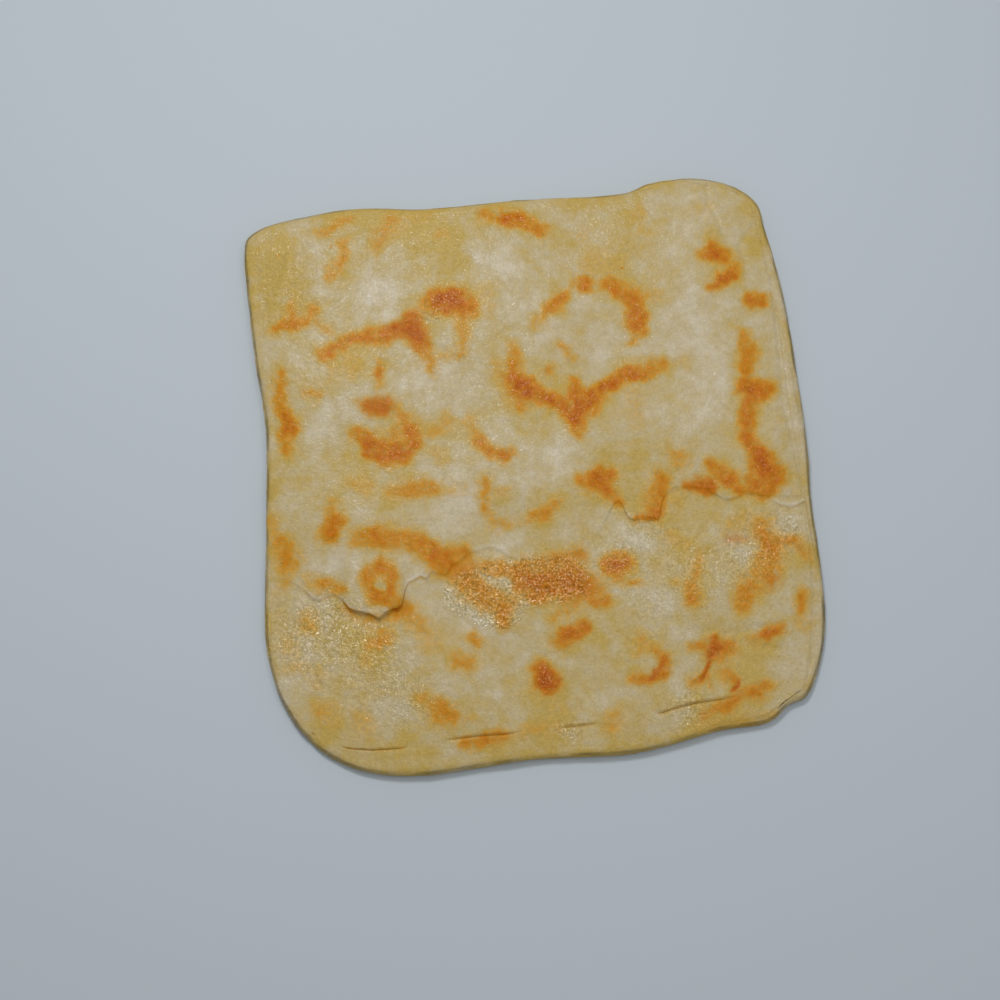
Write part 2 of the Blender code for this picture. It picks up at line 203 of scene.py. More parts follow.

# The spots browned on the griddle: how dark, how red, then points x, y, radius.
# A spot below zero stayed pale, because the dough had risen off the griddle there.
# One stroke is no browning but a painted shadow in front of the lifted lip of the torn edge.
BROWNED_AND_SHADOW = [
    (-0.95, 0, [(-53.4, -42.6, 1.9)]),
    (-0.60, 0, [(-17, -40.5, 1.6), (-11, -43, 2.2), (-7, -44.5, 1.4)]),
    (-0.50, 0, [(-33, -52, 2)]),
    (0.42, 0, [(-66, 93.6, 1.2), (-71, 91.3, 1.5), (-77, 88.3, 1.5)]),
    (0.38, 0, [(-68.5, 85, 1.5), (-69, 79.5, 1.7), (-70.5, 75, 1.7), (-73.5, 71, 1.3)]),
    (0.33, 0, [(-50.5, 93.5, 3.2), (-54, 89, 3), (-56.5, 83, 2.6)]),
    (0.16, 0, [(-46, 92, 2.6), (-38, 95, 2.4)]),
    (0.25, 0, [(-34.5, 87, 1.2), (-31, 87.5, 1.2)]),
    (0.45, 0, [(-16, 95, 2.4), (-11, 94.5, 2.8)]),
    (0.74, 0.1, [(-9, 94, 2.6), (-5, 93.5, 2.6)]),
    (0.56, 0, [(-5, 93.5, 2.2), (0, 91.5, 2.2), (5, 89.5, 2.4)]),
    (0.56, 0, [(-92.5, 51, 1.8), (-88.5, 53, 2.8), (-82, 53, 1.6)]),
    (0.46, 0, [(-87, 60, 1.2), (-87.5, 54, 2)]),
    (0.46, 0, [(-82, 53.5, 1.6), (-80, 59, 1.6)]),
    (0.30, 0, [(-79.5, 57.5, 1.5), (-77, 53, 1.6), (-74, 51, 1.3)]),
    (0.14, 0, [(-86, 64, 3)]),
    (0.60, 0, [(-75, 40.5, 2.2), (-72, 44, 2), (-66.5, 47, 2.6), (-60, 48.5, 2.6)]),
    (0.62, 0, [(-60, 48.5, 2.6), (-54.5, 48, 2.8), (-49.5, 50.5, 2.8)]),
    (0.80, 0.4, [(-49, 50.5, 2.4), (-44.5, 51.5, 3.6)]),
    (0.78, 0.3, [(-42.5, 54.5, 3.4), (-40.5, 46.5, 3.2)]),
    (0.42, 0, [(-38.5, 43, 2.2), (-36.5, 39, 2), (-36, 35.5, 1.3)]),
    (0.22, 0, [(-64.5, 41, 3), (-65, 35, 3)]),
    (0.17, 0, [(-72.5, 37, 2), (-72.5, 32, 1.8)]),
    (0.50, 0, [(-38, 60.5, 2.6), (-34, 62, 3.4)]),
    (0.88, 0.1, [(-34, 62, 3.4), (-28.5, 62.5, 4.6)]),
    (0.70, 0, [(-28.5, 63, 4.2), (-23, 59.5, 3.8)]),
    (0.38, 0, [(-24.5, 56, 2.5), (-24, 51, 1.8), (-24.5, 45, 1.6), (-25.5, 41, 1.2)]),
    (0.22, 0, [(-25, 44, 1.8), (-30, 40.5, 1.8), (-35, 41, 1.8)]),
    (0.15, 0, [(-16, 67, 3), (-16, 58, 3)]),
    (0.46, 0, [(-91, 34, 1.8), (-91.5, 26, 2.4), (-90, 20, 2.4)]),
    (0.72, 0, [(-89, 19, 2.6), (-86.8, 15, 3)]),
    (0.50, 0, [(-87.5, 12, 2.8), (-88, 7, 2)]),
    (0.38, 0, [(-81, 27, 1.4), (-77.5, 27, 2)]),
    (0.62, 0.1, [(-55.5, 34, 1.8)]),
    (0.32, 0, [(-54.5, 38, 1.4), (-55, 30, 1.6)]),
    (0.55, 0.5, [(-58, 21.5, 2.4), (-52.5, 22.5, 2.6)]),
    (0.55, 0, [(-62.5, 11, 2.4), (-58, 9, 3)]),
    (0.76, 0.1, [(-57, 7, 3.6), (-52, 4.5, 3.8), (-47, 4.5, 3.8)]),
    (0.62, 0.1, [(-46, 5, 3.8), (-42.5, 8.5, 3.4), (-42.5, 12, 2.8)]),
    (0.40, 0, [(-43.5, 13, 3), (-46, 18, 3), (-48, 22, 2)]),
    (0.36, 0, [(-50, 11, 4)]),
    (0.28, 0, [(-36, 12.5, 2.4), (-29.5, 17, 2.4)]),
    (0.18, 0, [(-34, 4.5, 3)]),
    (0.30, 0, [(-22, 17, 2.4), (-20, 12, 2)]),
    (0.55, 0, [(-19, 9.5, 2.2), (-14, 4.8, 2.2)]),
    (0.72, 0.1, [(-9, 3.8, 2.4)]),
    (0.42, 0, [(-5.8, 45, 1.2), (-5.2, 39, 2.4)]),
    (0.56, 0, [(-5.5, 38, 2.6), (-6, 33, 3.6)]),
    (0.28, 0, [(-10.5, 38, 2.4), (-9, 31, 3), (-7, 24, 3)]),
    (0.80, 0, [(-5.5, 31, 3), (-2, 29, 3.4)]),
    (0.58, 0, [(-5, 27, 3), (-3, 23.5, 2.4)]),
    (0.18, 0, [(19.5, 88, 2)]),
    (0.18, 0, [(41.5, 96, 3)]),
    (0.15, 0, [(42.5, 88, 2.2)]),
    (0.12, 0, [(65.5, 97, 3)]),
    (0.74, 0.1, [(67.5, 82.5, 2.4), (68, 80, 3.2)]),
    (0.55, 0.1, [(65, 79.5, 2.2), (71, 79.5, 2.6)]),
    (0.40, 0, [(73, 78, 2.2), (76, 75, 2.6), (75, 72, 2.2)]),
    (0.76, 0.1, [(73.5, 72, 2.2), (71.5, 70.5, 2.4)]),
    (0.55, 0.1, [(70.5, 69.5, 2.2), (67, 67, 2.2)]),
    (0.70, 0.1, [(81.5, 61.8, 2.2), (86, 62.2, 2.2)]),
    (0.30, 0, [(1.6, 52.7, 1.6), (5.7, 56.5, 1.8)]),
    (0.56, 0, [(8, 59, 2.4), (12, 63, 2.4)]),
    (0.36, 0, [(12.5, 64, 1.4), (17, 70, 1.4)]),
    (0.64, 0.1, [(20.3, 68, 2.7)]),
    (0.26, 0, [(22, 69, 2), (27, 68.5, 1.6)]),
    (0.62, 0, [(28.5, 68.3, 2.2), (33, 66, 3.2), (38, 63, 3)]),
    (0.30, 0, [(39, 63, 2.4), (46, 64, 2)]),
    (0.66, 0, [(38.5, 61, 3), (39.5, 56, 3.6), (39.2, 52, 2.8)]),
    (0.36, 0, [(38.5, 50, 2.4), (38, 46.5, 1.8)]),
    (0.20, 0, [(22, 74, 3), (22.5, 80, 3)]),
    (0.15, 0, [(5, 54, 3)]),
    (0.14, 0, [(30, 76, 6)]),
    (0.42, 0, [(11.9, 45.1, 1.6), (15.1, 40.2, 1.4)]),
    (0.46, 0, [(6.3, 35.3, 2.1)]),
    (0.80, 0, [(-2, 29, 3.4), (3.5, 26.5, 2.8), (8, 24, 2.4)]),
    (0.76, 0, [(8, 24, 2.2), (13, 20.5, 2.4), (17, 17.5, 2.8)]),
    (0.56, 0, [(17, 17, 2.8), (17.2, 12, 1.2)]),
    (0.66, 0, [(16, 31, 1.2), (16.2, 27, 2.4), (17, 24, 3)]),
    (0.60, 0, [(17, 24, 2.6), (22, 23, 2.6)]),
    (0.45, 0, [(18, 19, 2.2), (23, 19.5, 1.6)]),
    (0.76, 0, [(18, 21.5, 2.6), (24, 25.5, 2.8), (30, 30, 2.8)]),
    (0.70, 0, [(30, 30, 2.8), (36, 34, 3), (40, 35, 2.8)]),
    (0.46, 0, [(41, 35.5, 2.8), (48.5, 37, 2)]),
    (0.17, 0, [(38, 27, 2.6), (39, 17, 2.4)]),
    (0.12, 0, [(56, 38, 3)]),
    (0.34, 0, [(52, 5, 2), (55, 2, 2.8)]),
    (0.42, 0, [(80, 49, 2.6), (79.5, 44, 3)]),
    (0.56, 0, [(79.5, 43, 3), (79.5, 36, 2.6)]),
    (0.82, 0.1, [(79, 29, 3.4), (82, 28, 3.6)]),
    (0.56, 0, [(82, 28, 3.4), (86.5, 28, 3)]),
    (0.60, 0, [(80, 24, 3), (79.5, 18, 2.8), (79, 12.5, 2.6)]),
    (0.62, 0, [(79, 11, 2.6), (81.5, 6.5, 2.8)]),
    (0.80, 0.1, [(82.5, 5, 3.4), (84, 1, 4)]),
    (0.68, 0, [(20.5, -6, 3), (26, -4, 4)]),
    (0.60, 0, [(26, -5, 3.6), (29, -9, 2)]),
    (0.50, 0.1, [(28.5, -8.5, 1.4), (32, -13, 0.9)]),
    (0.56, 0, [(47.5, -4.5, 2.6), (46.5, -10, 3.4), (45, -14, 3.6)]),
    (0.66, 0.2, [(38, -19.2, 0.8), (45, -18.4, 1.4), (47, -16, 1)]),
    (0.20, 0, [(52, -12, 3)]),
    (0.50, 0.4, [(57, -6.5, 1.4), (61, -7, 1.8)]),
    (0.74, 0.4, [(62, -7, 1.8), (66, -7.3, 1.8)]),
    (0.64, 0, [(64, 0.5, 1.4), (68, -1.5, 2.2), (73, -5, 2.4), (76.5, -9, 1.8)]),
    (0.64, 0.1, [(84, 1, 4.2), (85.5, -4, 4.4)]),
    (0.56, 0, [(88.5, -1, 3.4), (89.5, -4.5, 2.6)]),
    (0.56, 0.1, [(80, -6, 2.6), (84, -8.5, 2.6), (88, -8.5, 2)]),
    (0.45, 0, [(0.5, -18.5, 1.8), (5.5, -17, 2.6), (9.5, -13.5, 1.5)]),
    (0.60, 0.2, [(-2, -40, 5), (3, -44, 5)]),
    (0.64, 0.2, [(3, -43, 6), (14, -42, 6.5)]),
    (0.56, 0.2, [(14, -41, 6), (20, -44, 4.5)]),
    (0.42, 0.1, [(5, -36, 3.4), (13, -33.5, 3), (18, -32.5, 2)]),
    (0.50, 0, [(23, -48.5, 2.6), (27, -48.5, 2.6)]),
    (0.28, 0, [(17, -50, 3), (11, -53, 3), (8, -56, 2)]),
    (0.80, 0, [(29, -35.8, 3), (33.5, -35.4, 3)]),
    (0.36, 0, [(31, -39, 3.6)]),
    (0.46, 0, [(35.8, -42.5, 1.2), (38.8, -42, 0.8)]),
    (0.26, 0, [(50, -25, 2), (55.5, -28.5, 1.6)]),
    (0.40, 0, [(61, -33, 1.2), (60, -37, 1.6), (58, -42, 2)]),
    (0.50, 0, [(58.5, -43, 2), (57.5, -48, 2.8)]),
    (0.24, 0, [(53, -42, 1.8)]),
    (0.24, 0.6, [(71, -26.5, 1.5), (75.5, -26.3, 1.5)]),
    (0.24, 0, [(73, -20.5, 2.5), (79, -20, 2.5), (84, -20.5, 3)]),
    (0.50, 0.1, [(83, -25, 3.2), (87, -29, 3.6)]),
    (0.36, 0, [(84, -21, 3)]),
    (0.42, 0.1, [(90.5, -27.5, 1.8), (95.5, -27, 1.6), (99.5, -31.5, 1.3)]),
    (0.42, 0, [(86, -32, 5), (84, -38, 4.5)]),
    (0.42, 0.3, [(86.5, -41.5, 2.2)]),
    (0.52, 0, [(78, -43, 3), (76.5, -49, 3.8)]),
    (0.30, 0, [(80.5, -44, 3)]),
    (0.56, 0, [(97.5, -46.5, 1.8), (96.5, -50, 1.8)]),
    (0.24, 0, [(97, -52, 2.4), (98, -57, 2)]),
    (0.32, 0.2, [(79, -62.5, 1.6), (83, -61.5, 1.8)]),
    (0.72, 0.3, [(83.5, -61.3, 1.6), (86.5, -60, 1.8)]),
    (0.36, 0.2, [(87, -60, 1.6), (90.5, -58.5, 1.3)]),
    (0.62, 0.1, [(58, -64.8, 0.9), (61.5, -65, 2.2), (65.5, -65.8, 3.8)]),
    (0.62, 0.8, [(65, -63.2, 0.9), (65.4, -66, 1.4), (64.8, -68, 1)]),
    (0.56, 0.1, [(66, -65.5, 3.6), (70.5, -66, 2.4)]),
    (0.48, 0.1, [(67, -67.5, 3), (68, -69.2, 2)]),
    (0.82, 0.8, [(64, -70.8, 0.5), (62.8, -73.6, 0.9), (60.4, -76, 0.6)]),
    (0.48, 0.1, [(61.5, -75.5, 1.6), (57, -78, 1.5)]),
    (0.38, 0.1, [(63.3, -74, 1.0), (63.9, -79.5, 0.8)]),
    (0.48, 0.1, [(69, -75, 1.5), (71.5, -77, 2)]),
    (0.82, 0.7, [(73, -77.3, 0.5), (72.8, -79.5, 0.7), (71.6, -81, 0.5)]),
    (0.46, 0.1, [(60, -89, 1.2), (68, -86, 1.6)]),
    (0.54, 0.1, [(68, -86, 1.6), (75, -82.5, 1.8), (80, -81, 2.2)]),
    (0.50, 0, [(80, -81, 2.2), (84, -79.5, 2)]),
    (0.20, 0, [(60, -93, 2.5), (85, -90, 2.5)]),
    (0.46, 0.1, [(10.5, -63.5, 2.6), (13.5, -61, 3)]),
    (0.74, 0.2, [(14, -60.5, 2.4), (18.3, -58.7, 2.4)]),
    (0.90, 0.1, [(4, -73.2, 2.8), (5.5, -76, 3.4)]),
    (0.98, 0.5, [(4.8, -75, 2.2), (6.7, -78.6, 3)]),
    (0.25, 0, [(2, -80, 2)]),
    (0.50, 0, [(45, -66, 1.4), (47.5, -69.5, 2)]),
    (0.62, 0.2, [(47.7, -70.5, 2), (46, -74.2, 2.2)]),
    (0.50, 0.1, [(45, -75.3, 1.8), (41, -76.2, 1.8), (36.9, -76.2, 1.6)]),
    (0.66, 0.8, [(46.2, -72, 0.4), (44, -73, 0.5), (43, -76, 0.4)]),
    (0.30, 0, [(40, -61, 1.2), (38.3, -67, 1.8)]),
    (0.30, 0, [(39, -64, 1.6), (45, -65.5, 1.4)]),
    (0.28, 0, [(30, -90, 3), (29, -94, 2.6)]),
    (0.20, 0, [(-2, -94, 2.2), (9, -95, 2.6)]),
    (0.15, 0, [(10, -87, 3)]),
    (0.24, 0, [(-64, -6, 2.4), (-58, -8, 2.4)]),
    (0.36, 0, [(-49, -9, 2.4), (-43, -8.3, 3)]),
    (0.44, 0, [(-42, -8.2, 3), (-35, -7.7, 2.8)]),
    (0.20, 0, [(-33, -8, 2), (-24, -8.5, 1.6)]),
    (0.32, 0, [(-71.5, -14.5, 2), (-70.5, -18.5, 2.2)]),
    (0.62, 0, [(-69.5, -21.5, 3), (-72, -24.5, 3)]),
    (0.40, 0, [(-74.5, -26, 1.6)]),
    (0.32, 0, [(-93, -19, 1.6), (-91.5, -25, 2.2)]),
    (0.48, 0, [(-90.5, -27, 2.6), (-87, -35, 3.6)]),
    (0.26, 0, [(-87, -38, 3.2), (-88, -43, 2.2)]),
    (0.20, 0, [(-84, -33, 4)]),
    (0.25, 0, [(-80, -41, 2), (-76, -42.5, 2)]),
    (0.42, 0, [(-74.5, -43, 2), (-70, -43.5, 2.2), (-66.5, -45, 1.8)]),
    (0.32, 0, [(-79, -56, 3.4)]),
    (0.50, 0, [(-60.5, -26.5, 3.4), (-55, -25.5, 4)]),
    (0.52, 0, [(-55, -26, 4.2), (-48, -27.5, 3.8), (-41, -28, 3.4)]),
    (0.50, 0, [(-41, -28, 3.6), (-35, -31, 4.6)]),
    (0.60, 0, [(-34, -32, 4.4), (-31, -35, 4.4)]),
    (0.52, 0, [(-30, -34, 4), (-24.5, -32, 3.4)]),
    (0.58, 0, [(-54, -36.5, 1.8), (-57.6, -40, 2), (-57.6, -44.5, 2.2), (-54.5, -48, 2.6)]),
    (0.60, 0, [(-54.5, -48, 2.6), (-50.5, -46.5, 2.4), (-49.3, -42, 2), (-51, -38, 2),
               (-54, -36.5, 1.8)]),
    (0.45, 0, [(-49, -48.5, 3), (-45, -52, 3.2)]),
    (0.38, 0, [(-44.5, -52, 3.2), (-40.5, -56, 3.2)]),
    (0.24, 0, [(-40, -57, 3.4), (-35.5, -63.5, 3.4)]),
    # a painted shadow, not browning: shade painted in front of the lifted lip of the torn edge
    (0.27, 0, [(-66, -52, 1.0), (-62.5, -54.2, 1.6), (-59, -55.2, 1.7),
               (-53.5, -56.8, 1.8), (-48, -54, 1.7), (-45, -51, 1.2)]),
    (0.42, 0, [(-56, -62.5, 2.8), (-50.5, -62, 2.2)]),
    (0.28, 0, [(-57, -66, 1.6), (-58.5, -70, 1.6)]),
    (0.36, 0, [(-21, -61, 2), (-18, -64.5, 2)]),
    (0.40, 0, [(-26.5, -70, 2.6), (-22, -71.5, 2.8)]),
    (0.30, 0, [(-37.5, -83, 3.6), (-33, -87, 4)]),
    (0.42, 0, [(-33, -87, 3.6), (-27.5, -89.5, 3.4)]),
    (0.30, 0, [(-27, -89.5, 2.4), (-20.5, -89.5, 1.2)]),
    (0.18, 0, [(-33, -92, 3)]),
    (0.25, 0, [(-74, -88, 3.6), (-71.5, -89.5, 3.6)]),
    (0.22, 0, [(-60, -90, 2.6), (-58.5, -94, 3.2)]),
    (0.16, 0, [(-76, -76, 3)]),
    (0.16, 0, [(-85, -64, 3.4), (-83, -71, 3)]),
    (0.50, 0.1, [(-22, -99.5, 1.6), (-16, -98, 1.6)]),
    (0.42, 0.1, [(-16, -98, 1.6), (-8, -96.3, 1.6)]),
    (0.22, 0, [(-8, -96, 1.5), (5, -93.5, 1.6)]),
    (0.36, 0, [(-16.5, -6, 1.8), (-16.5, -11, 2.2), (-15.5, -16, 1.8)]),
    (0.30, 0, [(-15.5, -17, 1.8), (-12.5, -21.5, 2.2), (-8, -20.5, 1.6)]),
    (0.26, 0, [(-12, -9.5, 1.2), (-7.5, -9.3, 1.2)]),
    (0.22, 0, [(-8, -20.5, 1.4), (0, -18.8, 1.6)]),
    (0.44, 0.1, [(-24.5, -39, 4), (-19.5, -44, 5), (-14, -48, 4.6)]),
    (0.40, 0.1, [(-22, -36, 2.6), (-12, -37.5, 3.4), (-5, -38.5, 4)]),
    (0.52, 0.1, [(-10.5, -50, 3.2), (-9.5, -56, 3)]),
    (0.45, 0.1, [(-5, -40, 4), (-1, -44, 4.4)]),
    (0.30, 0.1, [(-6, -49, 3)]),
]
# Specks of singed flour: x, y
SPECKS = [
    (-92.5, 79), (-73.5, 82.5), (34, 74.5), (76, 74), (-67, -44.5),
]
SPECK_RADIUS = 0.45
BROWNED_HEIGHT = 0.18    # the dough stands proud where it met the griddle
EDGE_SPREAD = 0.5        # the browning spreads past its stroke by this
EDGE_BLUR = 3.4          # and fades out over this and the stroke's own width
BROAD_STROKE = 1.4       # a stroke thinner than this spreads and fades less
BARE_BLUR = 0.9          # a pale spot has a crisper edge
# The edges of the spots are ragged: over what size, how far, and the layer of the noise
RAGGED = [(6.5, 1.8, 2.0), (2.3, 0.9, 9.0)]
RAGGED_SEED = 30
GLOW_REACH = 3.4         # round a browned spot the skin turns golden over this
UNDER_SEED = 11
UNDER_SPOTS = 85         # strokes of browning on the underside
# Each of them is drawn from these ranges: x and y, length, radius, how dark and how red
UNDER_AREA = (-98, 98)
UNDER_LENGTH = (1, 11)
UNDER_RADIUS = (1.6, 4.6)
UNDER_STRENGTH = (0.25, 0.9)
UNDER_REDNESS = (0, 0.3)
UNDER_TAPER = 0.6        # a stroke ends at this share of its radius

# The relief of the underside
UNDER_RISE = (0.28, 0.55, 0.7)   # its hollows: mean, swing and most
UNDER_HOLLOW = 21.0      # size of a hollow
UNDER_LEVEL = 7.0        # the underside leaves the ground over this, from the rim inwards
SEAM = (34.0, 0.45, 1.3)         # the seam of the fold underneath: y, height, half width
SEAM_BEND = (2.5, 17.0)  # how far it bends, and over what length

# Where the dough is yellower with butter and semolina (+) or paler (-): x, y, radius, amount.
# Many of the paler spots are painted sheen, pale where the oiled skin catches the light.
BUTTER_AND_SHEEN = [
    (-93, 79, 9, 0.6), (-93.5, 66, 9, 0.55), (-37, 99, 22, 0.35), (-74, 96, 6, 0.55),
    (-55.5, 97.5, 8, 0.55), (-32.5, 85, 12, 0.5), (-63.5, 74.5, 7, 0.3),
    (-63.5, 37.5, 6, 0.4), (85, 95, 7, 0.35), (84.5, 83.5, 4, 0.5),
    (69.5, 76.5, 9, 0.35), (26.5, 99, 18, 0.4), (-93, -9, 4, 0.45), (-84.5, -61.5, 9, 0.3),
    (-64, -66.5, 12, 0.25), (-49.5, -77, 12, 0.25), (-32, -57.5, 6, 0.3),
    (54.5, -32.5, 9, 0.4), (55.5, -17.5, 9, 0.3), (79.5, -74.5, 12, 0.4),
    (81.5, -64.5, 8, 0.35), (-76, -1.5, 11, 0.2), (-3.5, 81.5, 11, 0.2), (40, 9.5, 14, 0.2),
    (96.5, -34.5, 6, 0.3), (-70.5, -98, 11, 0.5), (-39, -103.5, 14, 0.5),
    (-4, -100, 16, 0.5), (31.5, -97.5, 16, 0.5), (66.5, -89.5, 13, 0.5),
    (-55.5, 64.5, 8, -0.6), (-12.5, 77.5, 9, -0.7), (-36.5, 35.5, 11, -0.5),
    (-43.5, 26.5, 6, -0.4), (34.5, -27, 8, -0.8), (49.5, -51, 6, -0.5),
    (55.5, -61.5, 4, -0.5), (-65.5, 24.5, 9, -0.2), (-80, 17, 7, -0.2),
    (29.5, 47, 11, -0.3), (-11, 9.5, 11, -0.2), (55, 54.5, 11, -0.3), (62, 24.5, 13, -0.25),
    (11, -1.5, 11, -0.2), (-66.5, -32.5, 5, -0.2), (-38.5, -45, 6, -0.4),
    (38, -63, 9, 0.15), (22, -79, 9, 0.25), (-20, -12.5, 9, -0.3), (88, -84, 6, -0.4),
]
GLOW_BUTTER = 0.6        # round the browned spots the skin is yellower
RIM_BUTTER = 0.25        # and so it is near the rim
RIM_BUTTER_REACH = 4.0
UNDER_BUTTER = 0.1       # the underside is this yellow all over
UNDER_GLOW_BUTTER = 0.5  # and by this more round its spots
# Where the skin is coarse and dry (+) or smooth (-): x, y, radius, amount
COARSE = [
    (-82, -63, 13, 0.5), (-60.5, -66, 14, 0.5), (-46, -84, 12, 0.4), (-71.5, -52, 9, 0.4),
    (58, -38, 12, 0.4), (40, -25, 10, 0.4), (44, -50, 9, 0.3), (85, -28, 12, 0.3),
    (-34.5, 57, 4, 0.7), (93.5, -21.5, 4, 0.8), (14, -95, 4, 0.6), (56, -87.5, 7, 0.6),
    (30.5, -35, 6, 0.6), (75, -34.5, 11, 0.3), (-39.5, -48.5, 5, -0.8),
    (-37.5, -43.5, 6, -0.9), (-30.5, -63, 6, -0.8), (-34, -55, 4, -0.7), (-88, 66, 11, 0.3),
]
BROWNED_COARSENESS = 0.25    # the browned spots are a little coarse
UNDER_COARSENESS = 0.25      # and so is all of the underside

# The mesh: cells across and along the top, and the lines of it that follow a real edge
COLUMNS = 248
ROWS = 260
SPLIT_ROW = 9        # the bottom of the front splits
FLAP_ROW = 74        # the foot of the tear; its lip takes the next three rows
PLY_COLUMN = 236     # the right edge of the topmost ply
GROOVE_COLUMN = 242  # the line between the next two plies
RIM_WIDTH = 3.0      # how far the rounded rim reaches in on top
RIM_UNDERCUT = 2.4   # how far it reaches in underneath
RIM_WAIST = 0.45     # height of its widest line, as a share of its whole height
RIM_ANGLES = [78, 64, 50, 36, 22, 8, -6, -20, -34, -48, -62, -76, -90]
FOLD_ANGLES = (36, 8, -20, -48)   # the rings that sink between two folds of the dough
FOLDS_IN_FRONT = 0.7       # how strongly the folds show at the front and back; 1 at the sides
SIDE_FACING = (0.45, 0.95)     # from here to here the rim passes from the front to a side
RIM_WANDER = (0.25, 9.0)   # the rim wanders in and out by this, over this length
FOLD_DEPTHS = (0.6, 9.0)   # mean depth of the folds as a share, and the length it varies over
FOLDS_RISE = (0.5, 17.0)   # the folds rise and fall together by this, over this length
RING_RISE = (0.3, 11.0)    # and each ring by itself by this, over this length
LOOP_GAP = 0.8       # points of the outline's loop are about this far apart
CURVE_STEPS = 40     # points of the smooth outline between two of its given points
FIRST_GUESS = (0.04, 0.33)     # shares of the way back to the splits and the tear, at first
ROUNDS = 6           # rounds that bring the lines of the mesh onto them
# Relief all over the skin: name, size and height
UNEVENNESS = [("pressed_by_hand", 11.0, 0.35), ("griddle_pimples", 2.6, 0.15)]
TOP_FACING = -0.35   # where the skin looks up more than this, it belongs to the top

# The stage: what the camera and the lights aim at and how far the floor lies under the
# bread, in millimetres, and each light's size and place, in metres
AIM = (-10.8, -12.5, 7.5)
FLOOR_GAP = 0.2
KEY_LIGHT = (0.16, (-0.14, 0.34, 0.72))
FILL_LIGHT = (0.5, (0.20, 0.04, 0.90))


def linear(colour):
    """An sRGB hex colour as linear red, green, blue and alpha."""
    shares = [int(colour[k : k + 2], 16) / 255 for k in (1, 3, 5)]
    return (
        *[c / 12.92 if c <= 0.04045 else ((c + 0.055) / 1.055) ** 2.4 for c in shares],
        1.0,
    )


# ---------------------------------------------------------------- the plan of the bread


def smooth_loop(points):
    """A closed smooth curve through the points, CURVE_STEPS points to each span."""
    given = np.array(points, float)
    before, after = np.roll(given, 1, 0), np.roll(given, -1, 0)
    after_next = np.roll(given, -2, 0)
    steps = np.arange(CURVE_STEPS)[:, None, None] / CURVE_STEPS
    curve = (
        given
        + 0.5 * steps * (after - before)
        + 0.5 * steps**2 * (2 * before - 5 * given + 4 * after - after_next)
        + 0.5 * steps**3 * (3 * given - before - 3 * after + after_next)
    )
    return curve.transpose(1, 0, 2).reshape(-1, 2)


def even_points(path, count):
    """count + 1 points spaced evenly along a path."""
    lengths = np.hypot(*np.diff(path, axis=0).T)
    along = np.concatenate([[0], np.cumsum(lengths)])
    wanted = np.linspace(0, along[-1], count + 1)
    return np.stack([np.interp(wanted, along, path[:, k]) for k in (0, 1)], 1)


def outline_loop():
    """The outline as one anticlockwise loop: along the front, up the right, and home again."""
    sides = [LEFT_SIDE, BACK_SIDE, RIGHT_SIDE, FRONT_SIDE]
    loop = smooth_loop([point for side in sides for point in side])
    loop -= (loop.min(0) + loop.max(0)) / 2
    loop = np.concatenate([loop, loop[:1]])
    starts = np.cumsum([0] + [len(side) * CURVE_STEPS for side in sides])
    left, back, right, front = (loop[starts[k] : starts[k + 1] + 1] for k in range(4))
    return np.concatenate([
        even_points(front[::-1], COLUMNS)[:-1],
        even_points(right[::-1], ROWS)[:-1],
        even_points(back[::-1], COLUMNS)[:-1],
        even_points(left[::-1], ROWS)[:-1],
    ])


def outward(loop):
    """Unit vectors that point out of an anticlockwise loop."""
    along = np.roll(loop, -1, 0) - np.roll(loop, 1, 0)
    along /= np.hypot(*along.T)[:, None]
    return np.stack([along[:, 1], -along[:, 0]], 1)


def sides_of(loop, columns, rows):
    """The loop split into left, back, right and front, each run from the front or the left."""
    ends = np.cumsum([0, columns, rows, columns, rows])
    closed = np.concatenate([loop, loop[:1]])
    front, right, back, left = (closed[ends[k] : ends[k + 1] + 1] for k in range(4))
    return left[::-1], back[::-1], right, front


def loop_cells(columns, rows):
    """The (column, row) of each point of the loop, in its order."""
    return (
        [(i, 0) for i in range(columns)]
        + [(columns, j) for j in range(rows)]
        + [(i, rows) for i in range(columns, 0, -1)]
        + [(0, j) for j in range(rows, 0, -1)]
    )


def patch_point(sides, u, v):
    """Points of the smooth patch spanned by the sides. u runs to the right, v to the back."""
    left, back, right, front = sides

    def at(side, share):
        place = np.clip(share, 0, 1) * (len(side) - 1)
        return np.stack([np.interp(place, range(len(side)), side[:, k]) for k in (0, 1)], -1)

    u1, v1 = u[..., None], v[..., None]
    across = (1 - u1) * at(left, v) + u1 * at(right, v)
    along = (1 - v1) * at(front, u) + v1 * at(back, u)
    corners = (
        (1 - u1) * (1 - v1) * front[0]
        + u1 * (1 - v1) * front[-1]
        + (1 - u1) * v1 * back[0]
        + u1 * v1 * back[-1]
    )
    return across + along - corners


def column_of(table, column, places):
    """The value of a table's column at places along its first column."""
    rows = np.array(table, float)
    return np.interp(places, rows[:, 0], rows[:, column])


def wander(places, size, seed):
    """A smooth random value in -1 to 1 along a line, changing over the given size."""
    steps = np.arange(np.min(places) - size, np.max(places) + size, size / 8)
    heights = [noise.noise(Vector((step / size, seed, 0.5))) for step in steps]
    return np.interp(places, steps, heights)


def tear_line(x):
    """y of the torn edge at x, with its small jags."""
    jag = wander(x, size=2.6, seed=3.0) + 0.5 * wander(x, size=1.1, seed=8.0)
    return column_of(TEAR, 1, x) + TEAR_JAG * jag


def lip_height(x):
    """How high the torn lip stands at x."""
    lip = column_of(TEAR, 2, x)
    jag = LIP_JAG * wander(x, size=1.9, seed=21.0)
    return lip * (1 + jag) - LIP_SINK * smooth_step(lip)


def spaced_lines(count, anchors):
    """Shares for count + 1 lines: evenly spaced between anchors (line, share)."""
    shares = []
    for (line, share), (next_line, next_share) in zip(anchors, anchors[1:]):
        steps = np.arange(next_line - line)[:, None] / (next_line - line)
        shares.append(share + steps * (next_share - share))
    shares.append(np.atleast_2d(anchors[-1][1]))
    return np.concatenate(shares)


